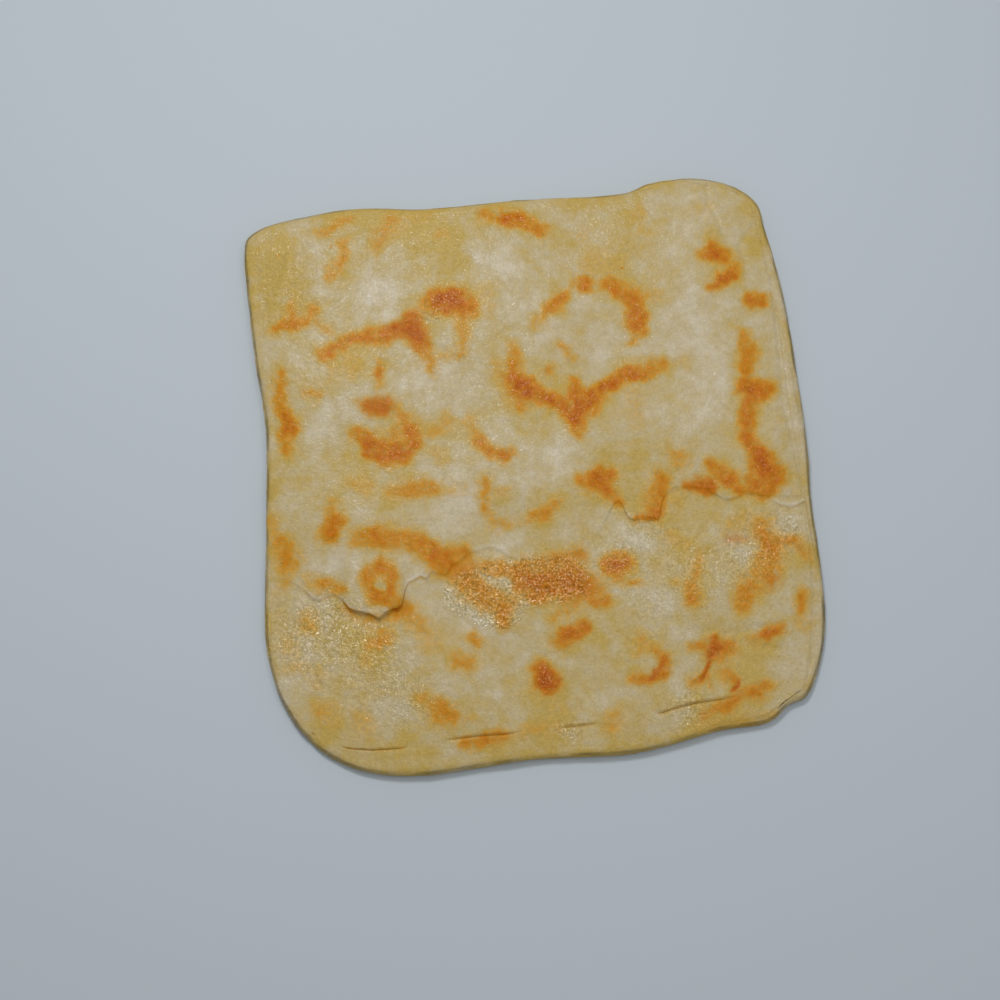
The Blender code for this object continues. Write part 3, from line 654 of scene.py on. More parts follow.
def ply_line(v):
    """Distance of the topmost ply's right edge from the inner loop, at share v to the back."""
    along = v * PLY_SIDE
    jag = wander(along, size=3.5, seed=5.0) + 0.5 * wander(along, size=1.4, seed=9.0)
    return np.maximum(column_of(PLY_EDGE, 1, v) + PLY_JAG * jag - RIM_WIDTH, PLY_NARROWEST)


def top_shares(sides):
    """The patch coordinates u and v of every vertex of the top, bent to follow its edges."""
    left, back, right, front = sides
    flat = np.ones(COLUMNS + 1)
    depth = back[:, 1] - front[:, 1]
    width = right[:, 0] - left[:, 0]
    u = np.tile(np.linspace(0, 1, COLUMNS + 1), (ROWS + 1, 1))
    split, tear = (guess * flat for guess in FIRST_GUESS)
    for _ in range(ROUNDS):
        place = patch_point(sides, u[SPLIT_ROW], split)
        split = split + (column_of(SPLITS, 1, place[:, 0]) - place[:, 1]) / depth
        place = patch_point(sides, u[FLAP_ROW + 2], tear)
        tear = tear + (tear_line(place[:, 0]) - place[:, 1]) / depth
        split = np.clip(split, *SPLIT_LIMITS)
        v = spaced_lines(ROWS, [
            (0, 0 * flat),
            (SPLIT_ROW - 1, split - SPLIT_HALF_WIDTH / depth),
            (SPLIT_ROW, split),
            (SPLIT_ROW + 1, split + SPLIT_HALF_WIDTH / depth),
            *[(FLAP_ROW - 1 + k, tear + gap / depth) for k, gap in enumerate(TEAR_LINES)],
            (ROWS, flat),
        ])
        strip = ply_line(v[:, -1])
        half = np.minimum(PLY_HALF_WIDTH, PLY_HALF_SHARE * strip)
        groove = strip / 2
        half_groove = GROOVE_HALF_SHARE * strip + GROOVE_HALF_WIDTH
        u = spaced_lines(COLUMNS, [
            (0, 0 * width),
            (PLY_COLUMN, 1 - (strip + half) / width),
            (PLY_COLUMN + 1, 1 - (strip - half) / width),
            (GROOVE_COLUMN - 1, 1 - (groove + half_groove) / width),
            (GROOVE_COLUMN, 1 - groove / width),
            (GROOVE_COLUMN + 1, 1 - (groove - half_groove) / width),
            (COLUMNS, 0 * width + 1),
        ]).T
    return u, v


# ---------------------------------------------------------------- relief and browning


def smooth_step(share):
    """Eases a share from 0 to 1, level at both ends."""
    share = np.clip(share, 0, 1)
    return share * share * (3 - 2 * share)


def near(distance, reach):
    """1 where the distance is nothing, and fading softly over the reach."""
    return np.exp(-((distance / reach) ** 2))


def depth_inside(x, y, points):
    """How deep inside a tapered stroke each place lies; outside it the depth is negative."""
    best = np.full(x.shape, -1e3)
    for (x0, y0, r0), (x1, y1, r1) in zip(points, points[1:] or points):
        dx, dy = x1 - x0, y1 - y0
        share = ((x - x0) * dx + (y - y0) * dy) / max(dx * dx + dy * dy, 1e-9)
        share = np.clip(share, 0, 1)
        distance = np.hypot(x - x0 - share * dx, y - y0 - share * dy)
        best = np.maximum(best, r0 + share * (r1 - r0) - distance)
    return best


def ragged(x, y):
    """Places moved a little, so that a stroke drawn on them gets a natural edge."""
    noise.seed_set(RAGGED_SEED)
    places = list(zip(x.ravel(), y.ravel()))
    moved = np.zeros((x.size, 2))
    for size, shift, layer in RAGGED:
        swing = [noise.noise_vector(Vector((px / size, py / size, layer)))[:2]
                 for px, py in places]
        moved += shift * np.array(swing)
    moved = moved.reshape(*x.shape, 2)
    return x + moved[..., 0], y + moved[..., 1]


def browning(x, y, strokes):
    """How browned and how red each place is, and how near it is to a browned spot. A stroke of
    painted shadow is drawn the same way.
    """
    brown, red, glow, bare = np.zeros((4, *x.shape))
    for strength, redness, points in strokes:
        depth = depth_inside(x, y, points)
        if strength < 0:
            bare = np.maximum(bare, -strength * smooth_step(0.5 + depth / BARE_BLUR))
            continue
        width = max(radius for _, _, radius in points)
        soft = min(width / BROAD_STROKE, 1)
        share = smooth_step(0.5 + (depth + EDGE_SPREAD * soft) / (EDGE_BLUR * soft + width))
        brown += (strength * share) ** 4
        red = np.maximum(red, redness * share)
        glow = np.maximum(glow, strength * near(np.minimum(depth, 0), GLOW_REACH))
    return brown**0.25 * (1 - bare), red * (1 - bare), glow


def soft_spots(x, y, spots):
    """The sum of soft round spots, each x, y, radius, amount."""
    total = np.zeros_like(x)
    for spot_x, spot_y, radius, amount in spots:
        total += amount * near(np.hypot(x - spot_x, y - spot_y), radius)
    return total


def under_strokes():
    """Browned strokes scattered over the underside."""
    draw = np.random.default_rng(UNDER_SEED)
    strokes = []
    for _ in range(UNDER_SPOTS):
        x, y = draw.uniform(*UNDER_AREA, 2)
        turn, length = draw.uniform(0, math.tau), draw.uniform(*UNDER_LENGTH)
        radius = draw.uniform(*UNDER_RADIUS)
        strength, redness = draw.uniform(*UNDER_STRENGTH), draw.uniform(*UNDER_REDNESS)
        end = (x + length * math.cos(turn), y + length * math.sin(turn), radius * UNDER_TAPER)
        strokes.append((strength, redness, [(x, y, radius), end]))
    return strokes


def edge_distance(x, y, loop):
    """How far each place is from the loop."""
    tree = kdtree.KDTree(len(loop))
    for k, (px, py) in enumerate(loop):
        tree.insert((px, py, 0), k)
    tree.balance()
    found = [tree.find((px, py, 0))[2] for px, py in zip(x.ravel(), y.ravel())]
    return np.array(found).reshape(x.shape)


def crust_cover(x, y):
    """How fully each place is under the dry crust."""
    inside = np.max([depth_inside(x, y, points) for points in CRUST], 0)
    return smooth_step(inside / CRUST_EDGE + 0.5)


def undulation(x, y):
    """Blisters, hollows, slow waves and creases of the top."""
    height = np.zeros_like(x)
    for spot_x, spot_y, radius, rise in BLISTERS:
        share = ((x - spot_x) ** 2 + (y - spot_y) ** 2) / radius**2
        height += rise * np.exp(-share * BLISTER_STEEPNESS)
    for length, degrees, start, rise in WAVES:
        turn = math.radians(degrees)
        way = x * math.cos(turn) + y * math.sin(turn)
        height += rise * np.sin(math.tau * way / length + start)
    for depth, half_width, points in CREASES:
        away = -depth_inside(x, y, [(px, py, 0) for px, py in points])
        height -= depth * near(away, half_width)
    return height


def shape_of_top(loop, settings):
    """x, y and z of every vertex of the top, and the height of its border."""
    inner = loop - outward(loop) * RIM_WIDTH
    sides = sides_of(inner, COLUMNS, ROWS)
    u, v = top_shares(sides)
    plan = patch_point(sides, u, v)
    x, y = plan[..., 0], plan[..., 1]

    lip = lip_height(x[FLAP_ROW + 2])
    lifted = np.maximum(lip - LIP_LIES, 0)
    y[FLAP_ROW] += LIP_TUCK * lifted - LIP_SLOPE * smooth_step((LIP_LIES - lip) / LIP_LIES)
    y[FLAP_ROW + 1] += LIP_HANG * LIP_TUCK * lifted

    distance = edge_distance(x, y, loop)
    low = settings.body_thickness / MM + undulation(x, y)
    low -= EDGE_DROP * near(distance, EDGE_DROP_REACH)

    rough_x, rough_y = ragged(x, y)
    low += CRUST_HEIGHT * crust_cover(rough_x, rough_y)
    low += BROWNED_HEIGHT * browning(rough_x, rough_y, BROWNED_AND_SHADOW)[0]

    rows = np.arange(ROWS + 1)[:, None]
    full = settings.flap_thickness / MM
    behind = smooth_step((y - y[FLAP_ROW + 2]) / FLAP_FADE)
    height = low + np.where(rows > FLAP_ROW, lip + (full - lip) * behind, 0)
    skin = np.minimum(LIP_SKIN, LIP_SKIN_SHARE * lip)
    height[FLAP_ROW + 1] = low[FLAP_ROW + 1] + lip - skin
    height[FLAP_ROW + 2] = low[FLAP_ROW + 2] + lip - LIP_ROUNDING * skin

    columns = np.arange(COLUMNS + 1)[None, :]
    share = column_of(PLY_EDGE, 2, v[:, -1])[:, None]
    height -= np.where(columns > PLY_COLUMN, settings.ply_thickness / MM * share, 0)
    height[:, PLY_COLUMN + 1] -= PLY_GROOVE * share[:, 0]
    height[:, GROOVE_COLUMN] -= PLY_GROOVE * share[:, 0]
    height[SPLIT_ROW] -= column_of(SPLITS, 2, x[SPLIT_ROW])
    return np.dstack([x, y, height])


def fold_strength(loop):
    """How strongly the folds show round the rim: most at the left and right sides."""
    facing = np.abs(outward(loop)[:, 0])
    front, side = SIDE_FACING
    share = smooth_step((facing - front) / (side - front))
    return FOLDS_IN_FRONT + (1 - FOLDS_IN_FRONT) * share


def rim_ring(angle, loop, heights, settings):
    """One ring of the rim: its points at this angle above the widest line."""
    turn = math.radians(angle)
    inset = (RIM_WIDTH if angle > 0 else RIM_UNDERCUT) * (1 - math.cos(turn))
    along = np.arange(len(loop)) * LOOP_GAP
    strength = fold_strength(loop)
    reach, size = RIM_WANDER
    inset = inset + reach * wander(along, size, seed=angle * 0.1) * math.cos(turn)
    if angle in FOLD_ANGLES:
        mean, size = FOLD_DEPTHS
        share = np.maximum(mean + wander(along, size, seed=angle), 0)
        inset = inset + settings.fold_depth / MM * share * strength
    waist = heights * RIM_WAIST
    rise = heights - waist if angle > 0 else waist
    (common, common_size), (own, own_size) = FOLDS_RISE, RING_RISE
    lift = common * wander(along, common_size, seed=40.0)
    lift += own * wander(along, own_size, seed=60.0 + angle / 30)
    lift = lift * strength * math.cos(turn)
    plan = loop - outward(loop) * inset[:, None]
    ring = np.column_stack([plan, waist + rise * math.sin(turn) + lift])
    if angle == RIM_ANGLES[-1]:
        ring[1::2] = ring[0::2]
        ring[:, 2] = 0
    return ring


def shape_of_underside(border, loop):
    """x, y and z of every vertex of the underside, half as fine as the top."""
    columns, rows = COLUMNS // 2, ROWS // 2
    sides = sides_of(border, columns, rows)
    u, v = np.meshgrid(np.linspace(0, 1, columns + 1), np.linspace(0, 1, rows + 1))
    plan = patch_point(sides, u, v)
    x, y = plan[..., 0], plan[..., 1]
    inside = smooth_step((edge_distance(x, y, loop) - RIM_UNDERCUT) / UNDER_LEVEL)
    uneven = np.array([
        noise.fractal(Vector((px / UNDER_HOLLOW, py / UNDER_HOLLOW, 4.0)), 1.0, 2.0, 3)
        for px, py in zip(x.ravel(), y.ravel())
    ]).reshape(x.shape)
    mean, swing, most = UNDER_RISE
    seam_y, seam_height, seam_width = SEAM
    bend, bend_length = SEAM_BEND
    seam = seam_height * near(y - seam_y - bend * np.sin(x / bend_length), seam_width)
    height = inside * (np.clip(mean + swing * uneven, 0, most) + seam)
    return np.dstack([x, y, height])


# ---------------------------------------------------------------- modelling by operators


def add_grid(name, columns, rows, shape):
    """A grid primitive moved onto a shape given in millimetres, as a selected active object."""
    bpy.ops.object.select_all(action="DESELECT")
    bpy.ops.mesh.primitive_grid_add(x_subdivisions=columns, y_subdivisions=rows, size=2)
    grid = bpy.context.object
    grid.name = grid.data.name = name
    flat = np.empty(len(grid.data.vertices) * 3)
    grid.data.vertices.foreach_get("co", flat)
    flat = flat.reshape(-1, 3)
    column = np.round((flat[:, 0] + 1) / 2 * columns).astype(int)
    row = np.round((flat[:, 1] + 1) / 2 * rows).astype(int)
    grid.data.vertices.foreach_set("co", (shape[row, column] * MM).ravel())
    number = {cell: k for k, cell in enumerate(loop_cells(columns, rows))}
    border = grid.data.attributes.new("border", "INT", "POINT")
    border.data.foreach_set("value", [number.get(c, -1) for c in zip(column, row)])
    return grid


def extrude_rim(bread, rings):
    """Extrudes the border of the top down round the rim, one ring at a time."""
    first = len(bread.data.vertices)
    bpy.ops.object.mode_set(mode="EDIT")
    bpy.ops.mesh.select_all(action="SELECT")
    bpy.ops.mesh.region_to_loop()
    for _ in rings:
        bpy.ops.mesh.extrude_region_move(TRANSFORM_OT_translate={"value": (0, 0, -MM / 2)})
    bpy.ops.object.mode_set(mode="OBJECT")
    mesh = bread.data
    border = np.empty(len(mesh.vertices), int)
    mesh.attributes["border"].data.foreach_get("value", border)
    places = np.empty(len(mesh.vertices) * 3)
    mesh.vertices.foreach_get("co", places)
    places = places.reshape(-1, 3)
    for k, ring in enumerate(rings):
        part = slice(first + k * len(ring), first + (k + 1) * len(ring))
        places[part] = ring[border[part]] * MM
    mesh.vertices.foreach_set("co", places.ravel())


def close_underside(bread, underside):
    """Joins the underside to the rim and turns every face outwards."""
    underside.select_set(True)
    bread.select_set(True)
    bpy.context.view_layer.objects.active = bread
    bpy.ops.object.join()
    bpy.ops.object.mode_set(mode="EDIT")
    bpy.ops.mesh.select_all(action="SELECT")
    bpy.ops.mesh.remove_doubles(threshold=MM / 1000)
    bpy.ops.mesh.normals_make_consistent(inside=False)
    bpy.ops.mesh.select_all(action="DESELECT")
    bpy.ops.mesh.select_non_manifold()
    bpy.ops.object.mode_set(mode="OBJECT")
    loose = sum(vert.select for vert in bread.data.vertices)
    if loose:
        raise RuntimeError(f"the bread isn't closed: {loose} vertices lie on an open edge")
    bread.data.attributes.remove(bread.data.attributes["border"])


def add_unevenness(bread, name, size, height):
    """Raises and lowers the surface by a cloudy relief of a given size, and applies it."""
    clouds = bpy.data.textures.new(name, "CLOUDS")
    clouds.noise_scale = size * MM
    clouds.noise_depth = 2
    relief = bread.modifiers.new(name, "DISPLACE")
    relief.texture = clouds
    relief.texture_coords = "LOCAL"
    relief.strength = height * MM
    relief.mid_level = 0.5
    bpy.context.view_layer.objects.active = bread
    bpy.ops.object.modifier_apply(modifier=name)


def rest_on_ground(bread):
    """Flattens what would reach under the ground, as the bread does under its own weight."""
    for vert in bread.data.vertices:
        vert.co.z = max(vert.co.z, 0.0)


def paint(mesh, name, values):
    """Stores one value for each vertex."""
    layer = mesh.attributes.new(name, "FLOAT", "POINT")
    layer.data.foreach_set("value", np.asarray(values, np.float32))


def paint_bread(bread, loop):
    """Stores how browned, red, buttery and coarse each vertex is."""
    mesh = bread.data
    places = np.empty(len(mesh.vertices) * 3)
    mesh.vertices.foreach_get("co", places)
    x, y, _ = places.reshape(-1, 3).T / MM
    facing = np.empty(len(mesh.vertices) * 3)
    mesh.vertices.foreach_get("normal", facing)
    on_top = facing.reshape(-1, 3)[:, 2] > TOP_FACING
    rough_x, rough_y = ragged(x, y)
    top_brown_and_shade, top_red, top_glow = browning(rough_x, rough_y, BROWNED_AND_SHADOW)
    under_brown, under_red, under_glow = browning(rough_x, rough_y, under_strokes())
    rim = near(edge_distance(x, y, loop), RIM_BUTTER_REACH)
    crust = crust_cover(rough_x, rough_y)
    # butter also carries painted sheen: the paler spots of that table lower it
    butter = soft_spots(rough_x, rough_y, BUTTER_AND_SHEEN) + RIM_BUTTER * rim + GLOW_BUTTER * top_glow
    coarse = soft_spots(rough_x, rough_y, COARSE) + crust + BROWNED_COARSENESS * top_brown_and_shade

    # the torn edge, the painted shade in the crevice under it and in the front splits, and the
    # specks
    lip = column_of(TEAR, 2, x)
    behind = y - tear_line(x)
    torn, crevice_shade = (
        near(behind - place, half_width) * smooth_step(lip / full)
        for place, half_width, full in (TORN_BAND, CREVICE_BAND)
    )
    mean, size = CREVICE_PATCHES
    crevice_shade = CREVICE_PAINTED_SHADE * crevice_shade * (mean + wander(x, size, seed=31.0))
    # the painted shade in the front splits
    split = near(y - column_of(SPLITS, 1, x), SPLIT_SHADE_BAND)
    split *= SPLIT_PAINTED_SHADE * smooth_step(column_of(SPLITS, 2, x))
    # the painted shade of the crevice and the splits goes in with the browning
    top_brown_and_shade = np.maximum(top_brown_and_shade, np.maximum(crevice_shade, split))
    for speck_x, speck_y in SPECKS:
        speck = near(np.hypot(x - speck_x, y - speck_y), SPECK_RADIUS)
        top_brown_and_shade = np.maximum(top_brown_and_shade, speck)

    butter -= TORN_PALENESS * torn
    under_butter = UNDER_BUTTER + UNDER_GLOW_BUTTER * under_glow
    # browning also holds painted shade: the crevice under the torn edge, the front splits and
    # the shadow in front of the lifted lip
    paint(mesh, "browning", np.where(on_top, top_brown_and_shade, under_brown))
    paint(mesh, "redness", np.where(on_top, top_red, under_red))
    paint(mesh, "butter", np.where(on_top, butter, under_butter))
    paint(mesh, "coarseness", np.where(on_top, coarse, UNDER_COARSENESS))


# ---------------------------------------------------------------- materials


def node(tree, kind, inputs=(), output=None, stops=(), **settings):
    """Adds a shader node and gives one of its outputs, the first unless another is named.

    The inputs are values or other nodes' outputs, in their order or by their identifiers.
    The stops are the places and colours of a colour ramp.
    """
    made = tree.nodes.new("ShaderNode" + kind)
    for name, value in settings.items():
        setattr(made, name, value)
    for k, (place, colour) in enumerate(stops):
        ramp = made.color_ramp.elements
        stop = ramp[k] if k < 2 else ramp.new(place)
        stop.position, stop.color = place, colour
    sockets = {socket.identifier: socket for socket in made.inputs}
    if not isinstance(inputs, dict):
        inputs = dict(zip(sockets, inputs))
    for name, value in inputs.items():
        if isinstance(value, bpy.types.NodeSocket):
            tree.links.new(value, sockets[name])
        else:
            sockets[name].default_value = value
    results = {socket.identifier: socket for socket in made.outputs}
    return results[output] if output else next(iter(made.outputs), made)


def new_material(name):
    """An empty node material and its tree."""
    material = bpy.data.materials.new(name)
    material.use_nodes = True
    material.node_tree.nodes.clear()
    return material, material.node_tree


def griddled_dough(settings):
    """Wheat and semolina dough, oiled, pressed by hand and cooked on a dry griddle.

    The dough is pale and slightly translucent, mottled where the leaf is thick or thin. It
    is buttery yellow where semolina and butter lie under the skin, and golden to
    orange-brown where it touched the iron. Brown is also painted as shade in the crevice
    under the torn edge, in the front splits and in front of the lifted lip. Oil gives it a
    soft, broken sheen, and glints where it lies in the grain of the coarse skin; many of its
    paler patches are painted sheen, and its light flecks are partly painted glints.
    """
    material, tree = new_material("griddled_semolina_dough")
    add = partial(node, tree)
    place = add("TexCoord", output="Object")
    # the browning attribute also holds painted shade, in the crevice, the splits and in front
    # of the lifted lip
    browned, red, butter, coarse = (
        add("Attribute", output="Fac", attribute_name=name)
        for name in ("browning", "redness", "butter", "coarseness")
    )
    # noises that swing about zero: the size of their features in millimetres, and detail
    cloudy, mottled, blotchy, pimpled, gritty, dusty = (
        add("TexNoise", {"Vector": place, "Scale": 1 / (size * MM), "Detail": detail},
            normalize=False)
        for size, detail in ((24, 3), (8, 3), (3.6, 3), (1.7, 2), (0.75, 2), (0.36, 1))
    )

    # the fine wrinkles of the thin leaf, as ridges
    wrinkled = add("TexNoise", {
        "Vector": place, "Scale": 1 / (5 * MM), "Detail": 3, "Gain": 1.4, "Distortion": 0.6,
    }, noise_type="RIDGED_MULTIFRACTAL")

    # the skin where it isn't browned: floury, pale or buttery, in clouds; the floury end also
    # paints the sheen of the paler spots
    tone = 0.5
    for cloud, swing in ((butter, 0.5), (cloudy, 0.25), (mottled, 0.26), (blotchy, 0.14)):
        tone = add("Math", [cloud, swing, tone], operation="MULTIPLY_ADD")
    skin = add("ValToRGB", [tone], stops=[
        (0.12, settings.floury_dough), (0.45, settings.pale_dough),
        (0.85, settings.buttery_dough),
    ])

    # the browned spots: a golden edge, then darker in blotches, and grainy all through; the
    # painted shade of the crevice, the splits and the lip's shadow takes these same colours
    brown = 1.0
    for cloud, swing in ((blotchy, 0.40), (gritty, 0.35), (dusty, 0.25)):
        brown = add("Math", [cloud, swing, brown], operation="MULTIPLY_ADD")
    brown = add("Math", [brown, browned], operation="MULTIPLY")
    brown = add("Math", [pimpled, 0.04, brown], operation="MULTIPLY_ADD")
    crust = add("ValToRGB", [brown], stops=[
        (0.22, settings.golden_crust), (0.48, settings.amber_crust),
        (0.74, settings.browned_crust), (1.00, settings.dark_crust),
    ])
    crust = add("Mix", {"Factor_Float": red, "A_Color": crust, "B_Color": settings.red_crust},
                "Result_Color", data_type="RGBA")
    share = add("MapRange", [brown, 0.02, 0.34])
    colour = add("Mix", {"Factor_Float": share, "A_Color": skin, "B_Color": crust},
                 "Result_Color", data_type="RGBA")

    # coarse or browned skin breaks up into light flecks, toasted where it is browned; the
    # flecks are partly painted glints of oil
    coarse_only = add("Math", [coarse, 0.0], operation="MAXIMUM")
    broken = add("Math", [browned, 0.4, coarse_only], operation="MULTIPLY_ADD")
    fleck_and_glint = add("Mix", {"Factor_Float": share, "A_Color": settings.dry_skin_and_glints,
                        "B_Color": settings.toasted_skin_and_glints}, "Result_Color", data_type="RGBA")
    flecks_and_glints = add("Math", [gritty, 0.8, dusty], operation="MULTIPLY_ADD")
    flecks_and_glints = add("Math", [flecks_and_glints, broken], operation="MULTIPLY")
    flecks_and_glints = add("MapRange", [flecks_and_glints, 0.12, 0.6, 0.0, 0.6])
    colour = add("Mix", {"Factor_Float": flecks_and_glints, "A_Color": colour, "B_Color": fleck_and_glint},
                 "Result_Color", data_type="RGBA")

    # the grain of the semolina, lighter and darker, strongest where the skin is coarse
    grain = add("Math", [pimpled, 0.6, gritty], operation="MULTIPLY_ADD")
    depth = add("Math", [coarse_only, 0.22, 0.1], operation="MULTIPLY_ADD")
    depth = add("Math", [browned, 0.14, depth], operation="MULTIPLY_ADD")
    grain = add("Math", [grain, depth, 1.0], operation="MULTIPLY_ADD")
    grain = add("CombineColor", [grain, grain, grain])
    colour = add("Mix", {"Factor_Float": 1.0, "A_Color": colour, "B_Color": grain},
                 "Result_Color", data_type="RGBA", blend_type="MULTIPLY")

    # oil shines in patches, and the skin is pimpled and wrinkled
    oiled = add("Math", [gritty, 0.5, mottled], operation="MULTIPLY_ADD")
    roughness = add("MapRange", [
        oiled, -0.5, 0.7, settings.oily_roughness, settings.dry_roughness])
    bumps = add("Math", [pimpled, 0.9, wrinkled], operation="MULTIPLY_ADD")
    bumps = add("Math", [gritty, 0.35, bumps], operation="MULTIPLY_ADD")
    height = add("Math", [coarse, 1.3, 0.45], operation="MULTIPLY_ADD")
    height = add("Math", [height, 0.15], operation="MAXIMUM")
    bumps = add("Math", [bumps, height], operation="MULTIPLY")
    normal = add("Bump", {"Strength": 0.8, "Distance": 0.25 * MM, "Height": bumps})

    # oil lies in droplets on the grain, most of it on the coarse skin
    droplets = add("MapRange", [gritty, -0.1, 0.35])
    film = add("MapRange", [coarse, 0.2, 0.9, 0.1, 1.0])
    film = add("Math", [film, droplets], operation="MULTIPLY")

    surface = add("BsdfPrincipled", {
        "Base Color": colour, "Roughness": roughness, "Normal": normal, "IOR": 1.45,
        "Specular IOR Level": 0.1, "Subsurface Weight": 0.08,
        "Subsurface Radius": (1.0, 0.6, 0.3), "Subsurface Scale": 1.0 * MM,
        "Coat Weight": film, "Coat Roughness": 0.08, "Coat IOR": 1.8, "Coat Normal": normal,
    })
    add("OutputMaterial", {"Surface": surface})
    return material


def painted_board(settings):
    """The floor: a board in matt emulsion, which is even and hardly shines."""
    material, tree = new_material("matt_painted_board")
    add = partial(node, tree)
    place = add("TexCoord", output="Object")
    roller = add("TexNoise", {"Vector": place, "Scale": 1 / (1.2 * MM)})
    normal = add("Bump", {"Strength": 0.06, "Distance": 0.1 * MM, "Height": roller})
    surface = add("BsdfPrincipled", {
        "Base Color": settings.floor_colour, "Roughness": 0.7, "Normal": normal,
    })
    add("OutputMaterial", {"Surface": surface})
    return material


# ---------------------------------------------------------------- settings


def length_property(label, description, size):
    """A length that the sidebar shows in the scene's units."""
    return bpy.props.FloatProperty(
        name=label, description=description, default=size, min=0.0, precision=4,
        unit="LENGTH",
    )


def colour_property(label, description, colour):
    """A colour, given as sRGB hex."""
    return bpy.props.FloatVectorProperty(
        name=label, description=description, default=linear(colour), size=4,
        min=0.0, max=1.0, subtype="COLOR",
    )


class MsemenBreadSettings(bpy.types.PropertyGroup):
    """Sizes and colours of the bread."""

    body_thickness: length_property(
        "Body thickness", "Height of the pressed plies under the flap", 0.0062)
    flap_thickness: length_property(
        "Flap thickness", "Thickness of the last fold, which ends in the tear", 0.0013)
    ply_thickness: length_property(
        "Ply thickness", "Step down from the topmost ply at the right", 0.0009)
    fold_depth: length_property(
        "Fold depth", "Depth of the lines between the folds round the rim", 0.0012)
    # the palest skin also paints sheen, in the paler spots
    floury_dough: colour_property("Floury dough", "The palest skin", "#D2C5AA")
    pale_dough: colour_property("Pale dough", "Most of the unbrowned skin", "#C7B58B")
    buttery_dough: colour_property("Buttery dough", "Skin over butter and semolina", "#C3A65A")
    golden_crust: colour_property("Golden crust", "Edge of a browned spot", "#CDA248")
    amber_crust: colour_property("Amber crust", "A lightly browned spot", "#CC8A20")
    browned_crust: colour_property("Browned crust", "A well browned spot", "#C57006")
    dark_crust: colour_property("Dark crust", "The darkest browning", "#B75A04")
    red_crust: colour_property("Red crust", "Browning with a reddish cast", "#B85A10")
    # the flecks of these two colours are partly painted glints
    dry_skin_and_glints: colour_property("Dry skin", "Light flecks of dry skin", "#E8DFC8")
    toasted_skin_and_glints: colour_property("Toasted skin", "Light flecks of the crust", "#E0B264")
    oily_roughness: bpy.props.FloatProperty(
        name="Oily roughness", description="Where oil lies on the skin", default=0.26,
        min=0.0, max=1.0, subtype="FACTOR")
    dry_roughness: bpy.props.FloatProperty(
        name="Dry roughness", description="Where the skin is dry", default=0.46,
        min=0.0, max=1.0, subtype="FACTOR")


class MsemenStageSettings(bpy.types.PropertyGroup):
    """The camera, the light and the floor."""

    camera_distance: length_property(
        "Camera distance", "From the lens to the top of the bread", 0.6)
    camera_elevation: bpy.props.FloatProperty(
        name="Camera elevation", description="Angle of the view above the horizon",
        default=math.radians(80), subtype="ANGLE")
    floor_size: length_property("Floor size", "Length of each side of the floor", 4.0)
    floor_colour: colour_property("Floor colour", "A pale cool grey", "#C2CBD2")
    key_power: bpy.props.FloatProperty(
        name="Key light", description="Power of the light above the back", default=2.36,
        min=0.0, subtype="POWER")
    fill_power: bpy.props.FloatProperty(
        name="Fill light", description="Power of the light beside the camera", default=1.46,
        min=0.0, subtype="POWER")
    sky_strength: bpy.props.FloatProperty(
        name="Sky strength", description="Brightness of the even light all round",
        default=0.33, min=0.0)


# ---------------------------------------------------------------- operators


class MSEMEN_OT_bread(bpy.types.Operator):
    """Model the bread and give it its dough"""

    bl_idname = "msemen.bread"
    bl_label = "Make the bread"
    bl_options = {"REGISTER", "UNDO"}

    def execute(self, context):
        settings = context.scene.msemen_bread
        loop = outline_loop()
        top = shape_of_top(loop, settings)
        heights = np.array([top[j, i, 2] for i, j in loop_cells(COLUMNS, ROWS)])
        rings = [rim_ring(angle, loop, heights, settings) for angle in RIM_ANGLES]
        bread = add_grid("msemen_bread", COLUMNS, ROWS, top)
        extrude_rim(bread, rings)
        under = shape_of_underside(rings[-1][::2, :2], loop)
        underside = add_grid("underside", COLUMNS // 2, ROWS // 2, under)
        close_underside(bread, underside)
        for relief in UNEVENNESS:
            add_unevenness(bread, *relief)
        rest_on_ground(bread)
        paint_bread(bread, loop)
        bread.data.materials.append(griddled_dough(settings))
        bread.data.shade_smooth()
        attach(bread, "root")
        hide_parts(NODE)
        return {"FINISHED"}


def add_soft_light(name, power, size, place, target):
    """A square area light that looks at the target."""
    bpy.ops.object.light_add(type="AREA", location=place)
    light = bpy.context.object
    light.name = light.data.name = name
    light.data.energy = power
    light.data.size = size
    light.rotation_euler = (target - Vector(place)).to_track_quat("-Z", "Y").to_euler()
    return light


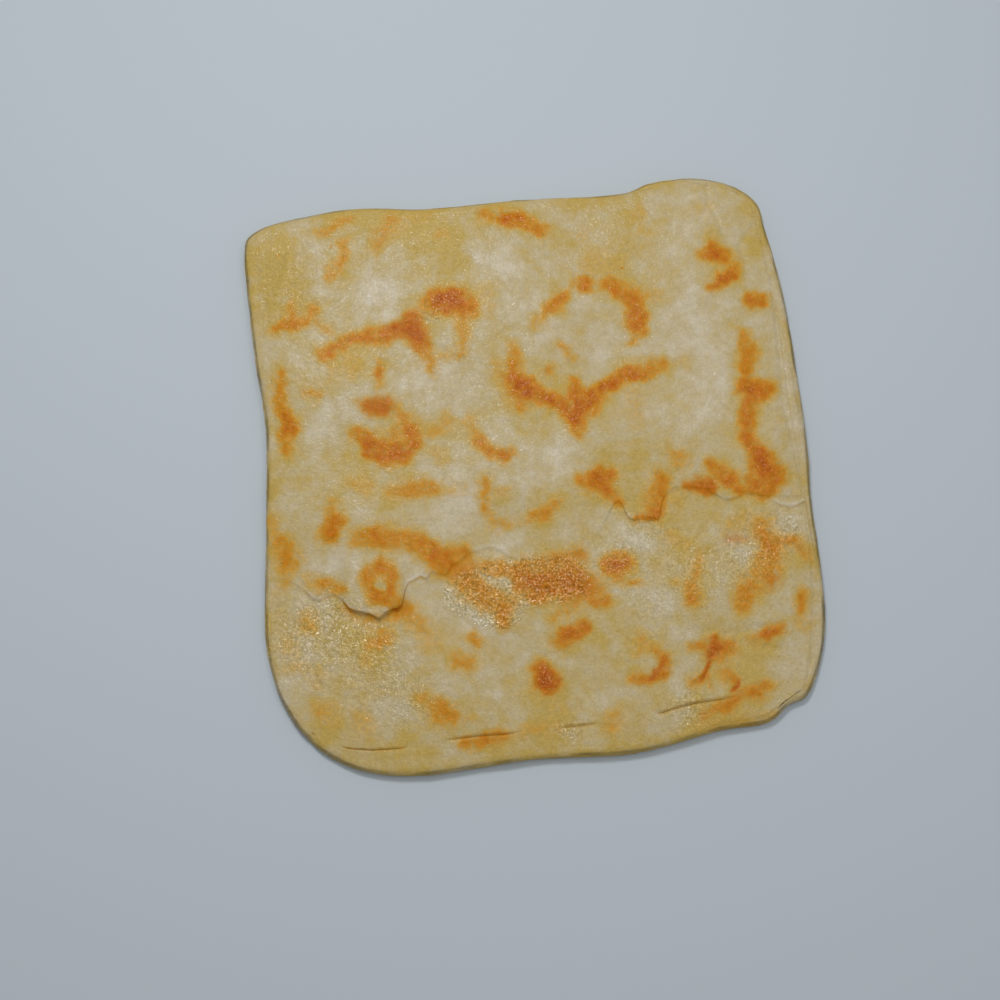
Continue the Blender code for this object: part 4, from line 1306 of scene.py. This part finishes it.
class MSEMEN_OT_stage(bpy.types.Operator):
    """Set up the floor, the light and the camera"""

    bl_idname = "msemen.stage"
    bl_label = "Set the stage"
    bl_options = {"REGISTER", "UNDO"}

    def execute(self, context):
        settings = context.scene.msemen_stage
        bpy.ops.object.select_all(action="DESELECT")
        bpy.ops.mesh.primitive_plane_add(
            size=settings.floor_size, location=(0, 0, -FLOOR_GAP * MM))
        floor = context.object
        floor.name = floor.data.name = "floor"
        bpy.ops.object.transform_apply(location=True, rotation=False, scale=False)
        floor.data.materials.append(painted_board(settings))

        aim = Vector(AIM) * MM
        rise = settings.camera_elevation
        back = Vector((0, -math.cos(rise), math.sin(rise)))
        bpy.ops.object.camera_add(location=aim + back * settings.camera_distance)
        camera = context.object
        camera.name = camera.data.name = "camera"
        camera.data.sensor_width = 36
        camera.data.lens = 60
        camera.data.clip_start = 0.01
        camera.rotation_euler = (-back).to_track_quat("-Z", "Y").to_euler()
        context.scene.camera = camera

        add_soft_light("key", settings.key_power, *KEY_LIGHT, aim)
        add_soft_light("fill", settings.fill_power, *FILL_LIGHT, aim)
        world = bpy.data.worlds.new("even_light")
        world.use_nodes = True
        sky = world.node_tree.nodes["Background"]
        sky.inputs["Color"].default_value = linear("#F4F6F8")
        sky.inputs["Strength"].default_value = settings.sky_strength
        context.scene.world = world
        context.scene.view_settings.view_transform = "Standard"
        return {"FINISHED"}


class MSEMEN_PT_panel(bpy.types.Panel):
    """The msemen's operators and settings, in the sidebar"""

    bl_idname = "MSEMEN_PT_panel"
    bl_label = "Msemen"
    bl_space_type = "VIEW_3D"
    bl_region_type = "UI"
    bl_category = "Msemen"

    def draw(self, context):
        for operator, group in (
            (MSEMEN_OT_bread, context.scene.msemen_bread),
            (MSEMEN_OT_stage, context.scene.msemen_stage),
        ):
            self.layout.operator(operator.bl_idname)
            for name in type(group).__annotations__:
                self.layout.prop(group, name)


CLASSES = (
    MsemenBreadSettings,
    MsemenStageSettings,
    MSEMEN_OT_bread,
    MSEMEN_OT_stage,
    MSEMEN_PT_panel,
)


def register():
    for item in CLASSES:
        bpy.utils.register_class(item)
    bpy.types.Scene.msemen_bread = bpy.props.PointerProperty(type=MsemenBreadSettings)
    bpy.types.Scene.msemen_stage = bpy.props.PointerProperty(type=MsemenStageSettings)


def unregister():
    del bpy.types.Scene.msemen_stage
    del bpy.types.Scene.msemen_bread
    for item in reversed(CLASSES):
        bpy.utils.unregister_class(item)


def main():
    register()
    bpy.ops.msemen.bread()
    bpy.ops.msemen.stage()


if __name__ == "__main__":
    main()
